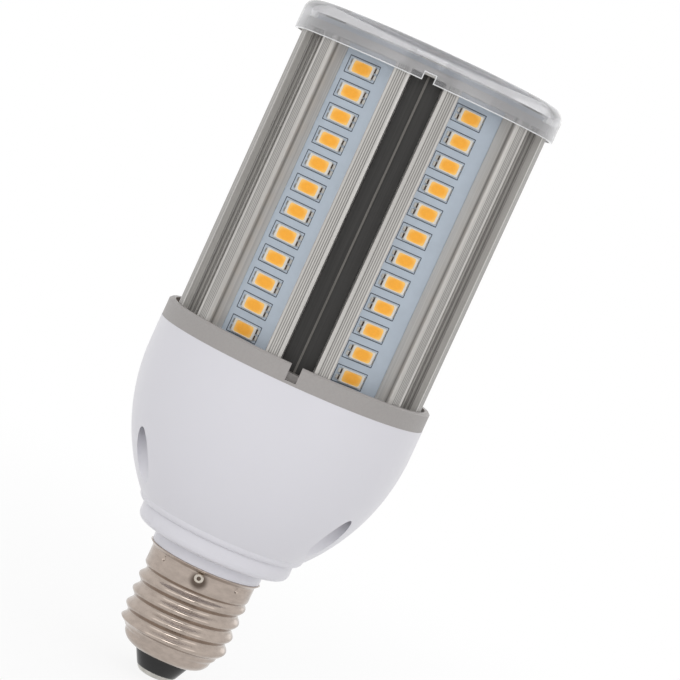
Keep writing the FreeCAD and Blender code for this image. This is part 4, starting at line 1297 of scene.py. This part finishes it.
@dataclass(frozen=True)
class SoftLight:
    """A square soft light that faces the lamp's middle.

    Attributes:
        name: The light's name.
        place: Its middle in millimetres.
        size: Its side in millimetres.
        power: Its power in watts.
    """

    name: str
    place: tuple[float, float, float]
    size: float
    power: float


@dataclass(frozen=True)
class Card:
    """A dull upright card that gives the lamp's metal something darker to reflect.

    Attributes:
        name: The card's name.
        place: Its middle in millimetres.
        size: Its width and height in millimetres.
        colour: sRGB hex of the card.
    """

    name: str
    place: tuple[float, float, float]
    size: tuple[float, float]
    colour: str


@dataclass
class Studio:
    """A pale floor, soft light and the camera. Lengths in millimetres, angles in degrees.

    Attributes:
        distance: How far the camera stands in front of the axis.
        eye_level: The camera's height.
        aim_right: How far the camera and its aim lie to the right of the axis.
        aim_height: The height at which it looks.
        azimuth: How far it is turned round the axis.
        roll: How far it is rolled, so that the lamp leans to the right.
        view_angle: The angle of its picture.
        floor_share: How white the camera sees the floor next to the lamp, where its shadow lies.
        floor_fade: The distances from the axis between which the floor turns fully white.
        world_strength: How strongly the white room lights the lamp.
    """

    distance: float = 600.0
    eye_level: float = 131.0
    aim_right: float = 6.9
    aim_height: float = 89.3
    azimuth: float = -1.4
    roll: float = 24.62
    view_angle: float = 14.86
    floor_size: float = 40000.0
    floor_colour: str = "F4F4F4"
    floor_roughness: float = 0.9
    floor_share: float = 0.85
    floor_fade: tuple[float, float] = (40.0, 320.0)
    card_roughness: float = 0.8
    card_grain: tuple[float, float, float] = (60.0, 60.0, 60.0)
    world_strength: float = 0.78
    lights: tuple[SoftLight, ...] = (SoftLight("key_light", (-60.0, -1000.0, 460.0), 500.0, 2.0),
                                     SoftLight("left_light", (-700.0, -920.0, 480.0), 800.0, 1.1),
                                     SoftLight("right_light", (700.0, -920.0, 400.0), 800.0, 1.1),
                                     SoftLight("back_light", (300.0, 1100.0, 700.0), 1100.0, 1.6))
    cards: tuple[Card, ...] = (Card("front_card", (0.0, -1500.0, 150.0), (1300.0, 900.0), "6E6C6A"),
                               Card("high_card", (0.0, -600.0, 800.0), (420.0, 240.0), "24211F"))

    def build(self) -> None:
        """Make the floor, the light, the cards and the camera."""
        self.floor()
        self.world()
        for light in self.lights:
            self.light(light)
        for card in self.cards:
            self.card(card)
        self.camera()

    def floor(self) -> None:
        """A flat pale floor under the lamp that the camera sees as white."""
        half = self.floor_size / 2
        mesh = sheet("floor", ((-half, -half, 0), (half, -half, 0), (half, half, 0), (-half, half, 0)))
        self.staged("floor", mesh)
        material = bpy.data.materials.new("floor_paper")
        material.use_nodes = True
        tree = material.node_tree
        shader = tree.nodes["Principled BSDF"]
        shader.inputs["Base Color"].default_value = linear(self.floor_colour)
        shader.inputs["Roughness"].default_value = self.floor_roughness
        white = add_node(tree, "ShaderNodeEmission", {"Color": WHITE, "Strength": 1.0})
        near, far = (distance * MM for distance in self.floor_fade)
        place = add_node(tree, "ShaderNodeTexCoord").outputs["Object"]
        reach = add_node(tree, VECTOR_MATHS, (place,), operation="LENGTH")
        fade = add_node(tree, RAMP, {"Value": reach, "From Min": near, "From Max": far,
                                     "To Min": self.floor_share}, interpolation_type="SMOOTHSTEP")
        share = add_node(tree, MATHS, (self.seen_directly(tree), fade), operation="MULTIPLY")
        mix = add_node(tree, "ShaderNodeMixShader", (share, shader, white))
        tree.links.new(mix.outputs[0], tree.nodes["Material Output"].inputs["Surface"])
        mesh.materials.append(material)

    def card(self, card: Card) -> None:
        """Put up a card.

        Args:
            card: The card's place, size and colour.
        """
        x, z = card.size[0] / 2, card.size[1] / 2
        corners = ((x, 0, -z), (-x, 0, -z), (-x, 0, z), (x, 0, z))
        mesh = sheet(card.name, [Vector(card.place) + Vector(corner) for corner in corners])
        finish = Finish(card.name, card.colour, roughness=self.card_roughness, grain=self.card_grain)
        mesh.materials.append(finish.build())
        self.staged(card.name, mesh)

    def staged(self, name: str, mesh: bpy.types.Mesh) -> None:
        """Put a piece of the studio in the scene.

        Args:
            name: The piece's name.
            mesh: Its mesh, in place.
        """
        piece = bpy.data.objects.new(name, mesh)
        bpy.context.scene.collection.objects.link(piece)

    def seen_directly(self, tree: bpy.types.NodeTree) -> bpy.types.Node:
        """1 for rays of the camera and for those that a mirror or clear plastic passes on.

        Args:
            tree: The material's or the world's tree.

        Returns:
            The node that gives the share.
        """
        path = add_node(tree, "ShaderNodeLightPath").outputs
        first = add_node(tree, MATHS, (path["Is Camera Ray"], path["Is Glossy Ray"]), operation="MAXIMUM")
        return add_node(tree, MATHS, (first, path["Is Transmission Ray"]), operation="MAXIMUM")

    def world(self) -> None:
        """A white room: full white where it is seen, softer as light."""
        world = bpy.data.worlds.new("studio")
        world.use_nodes = True
        tree = world.node_tree
        background = tree.nodes["Background"]
        background.inputs["Color"].default_value = WHITE
        strength = add_node(tree, RAMP, {"Value": self.seen_directly(tree), "To Min": self.world_strength})
        tree.links.new(strength.outputs[0], background.inputs["Strength"])
        bpy.context.scene.world = world

    def light(self, light: SoftLight) -> None:
        """Hang a light and turn it to the lamp's middle.

        Args:
            light: The light's place, size and power.
        """
        data = bpy.data.lights.new(light.name, "AREA")
        data.shape = "SQUARE"
        data.size = light.size * MM
        data.energy = light.power
        piece = bpy.data.objects.new(light.name, data)
        bpy.context.scene.collection.objects.link(piece)
        piece.location = Vector(light.place) * MM
        middle = Vector((0.0, 0.0, self.aim_height * MM))
        piece.rotation_euler = (middle - piece.location).to_track_quat("-Z", "Y").to_euler()

    def camera(self) -> None:
        """The camera at the photograph's viewing angle, rolled so that the lamp leans to the right."""
        data = bpy.data.cameras.new("camera")
        data.angle = math.radians(self.view_angle)
        camera = bpy.data.objects.new("camera", data)
        bpy.context.scene.collection.objects.link(camera)
        bpy.context.scene.camera = camera
        turn = Matrix.Rotation(math.radians(self.azimuth), 4, "Z")
        place = turn @ Vector((self.aim_right, -self.distance, self.eye_level)) * MM
        aim = turn @ Vector((self.aim_right, 0.0, self.aim_height)) * MM
        facing = (aim - place).to_track_quat("-Z", "Y").to_matrix().to_4x4()
        roll = Matrix.Rotation(math.radians(self.roll), 4, "Z")
        camera.matrix_world = Matrix.Translation(place) @ facing @ roll


def corners(box: Iterable[Vector]) -> list[list[float]]:
    """A box's corners as plain lists."""
    return [list(corner) for corner in box]


def main() -> None:
    """Dress the lamp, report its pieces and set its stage."""
    logging.basicConfig(level=logging.INFO, format="%(name)s: %(message)s")
    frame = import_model()
    pieces = [*DressedSolids().build(frame["nodes"]), *LedRows().build(), *ScrewCap().build(),
              *CapEnd().build()]
    for piece in pieces:
        LOG.info("%s: %d faces", piece.name, len(piece.data.polygons))
    Studio().build()
    scene = bpy.context.scene
    scene.view_settings.view_transform = "Standard"


if __name__ == "__main__":
    main()
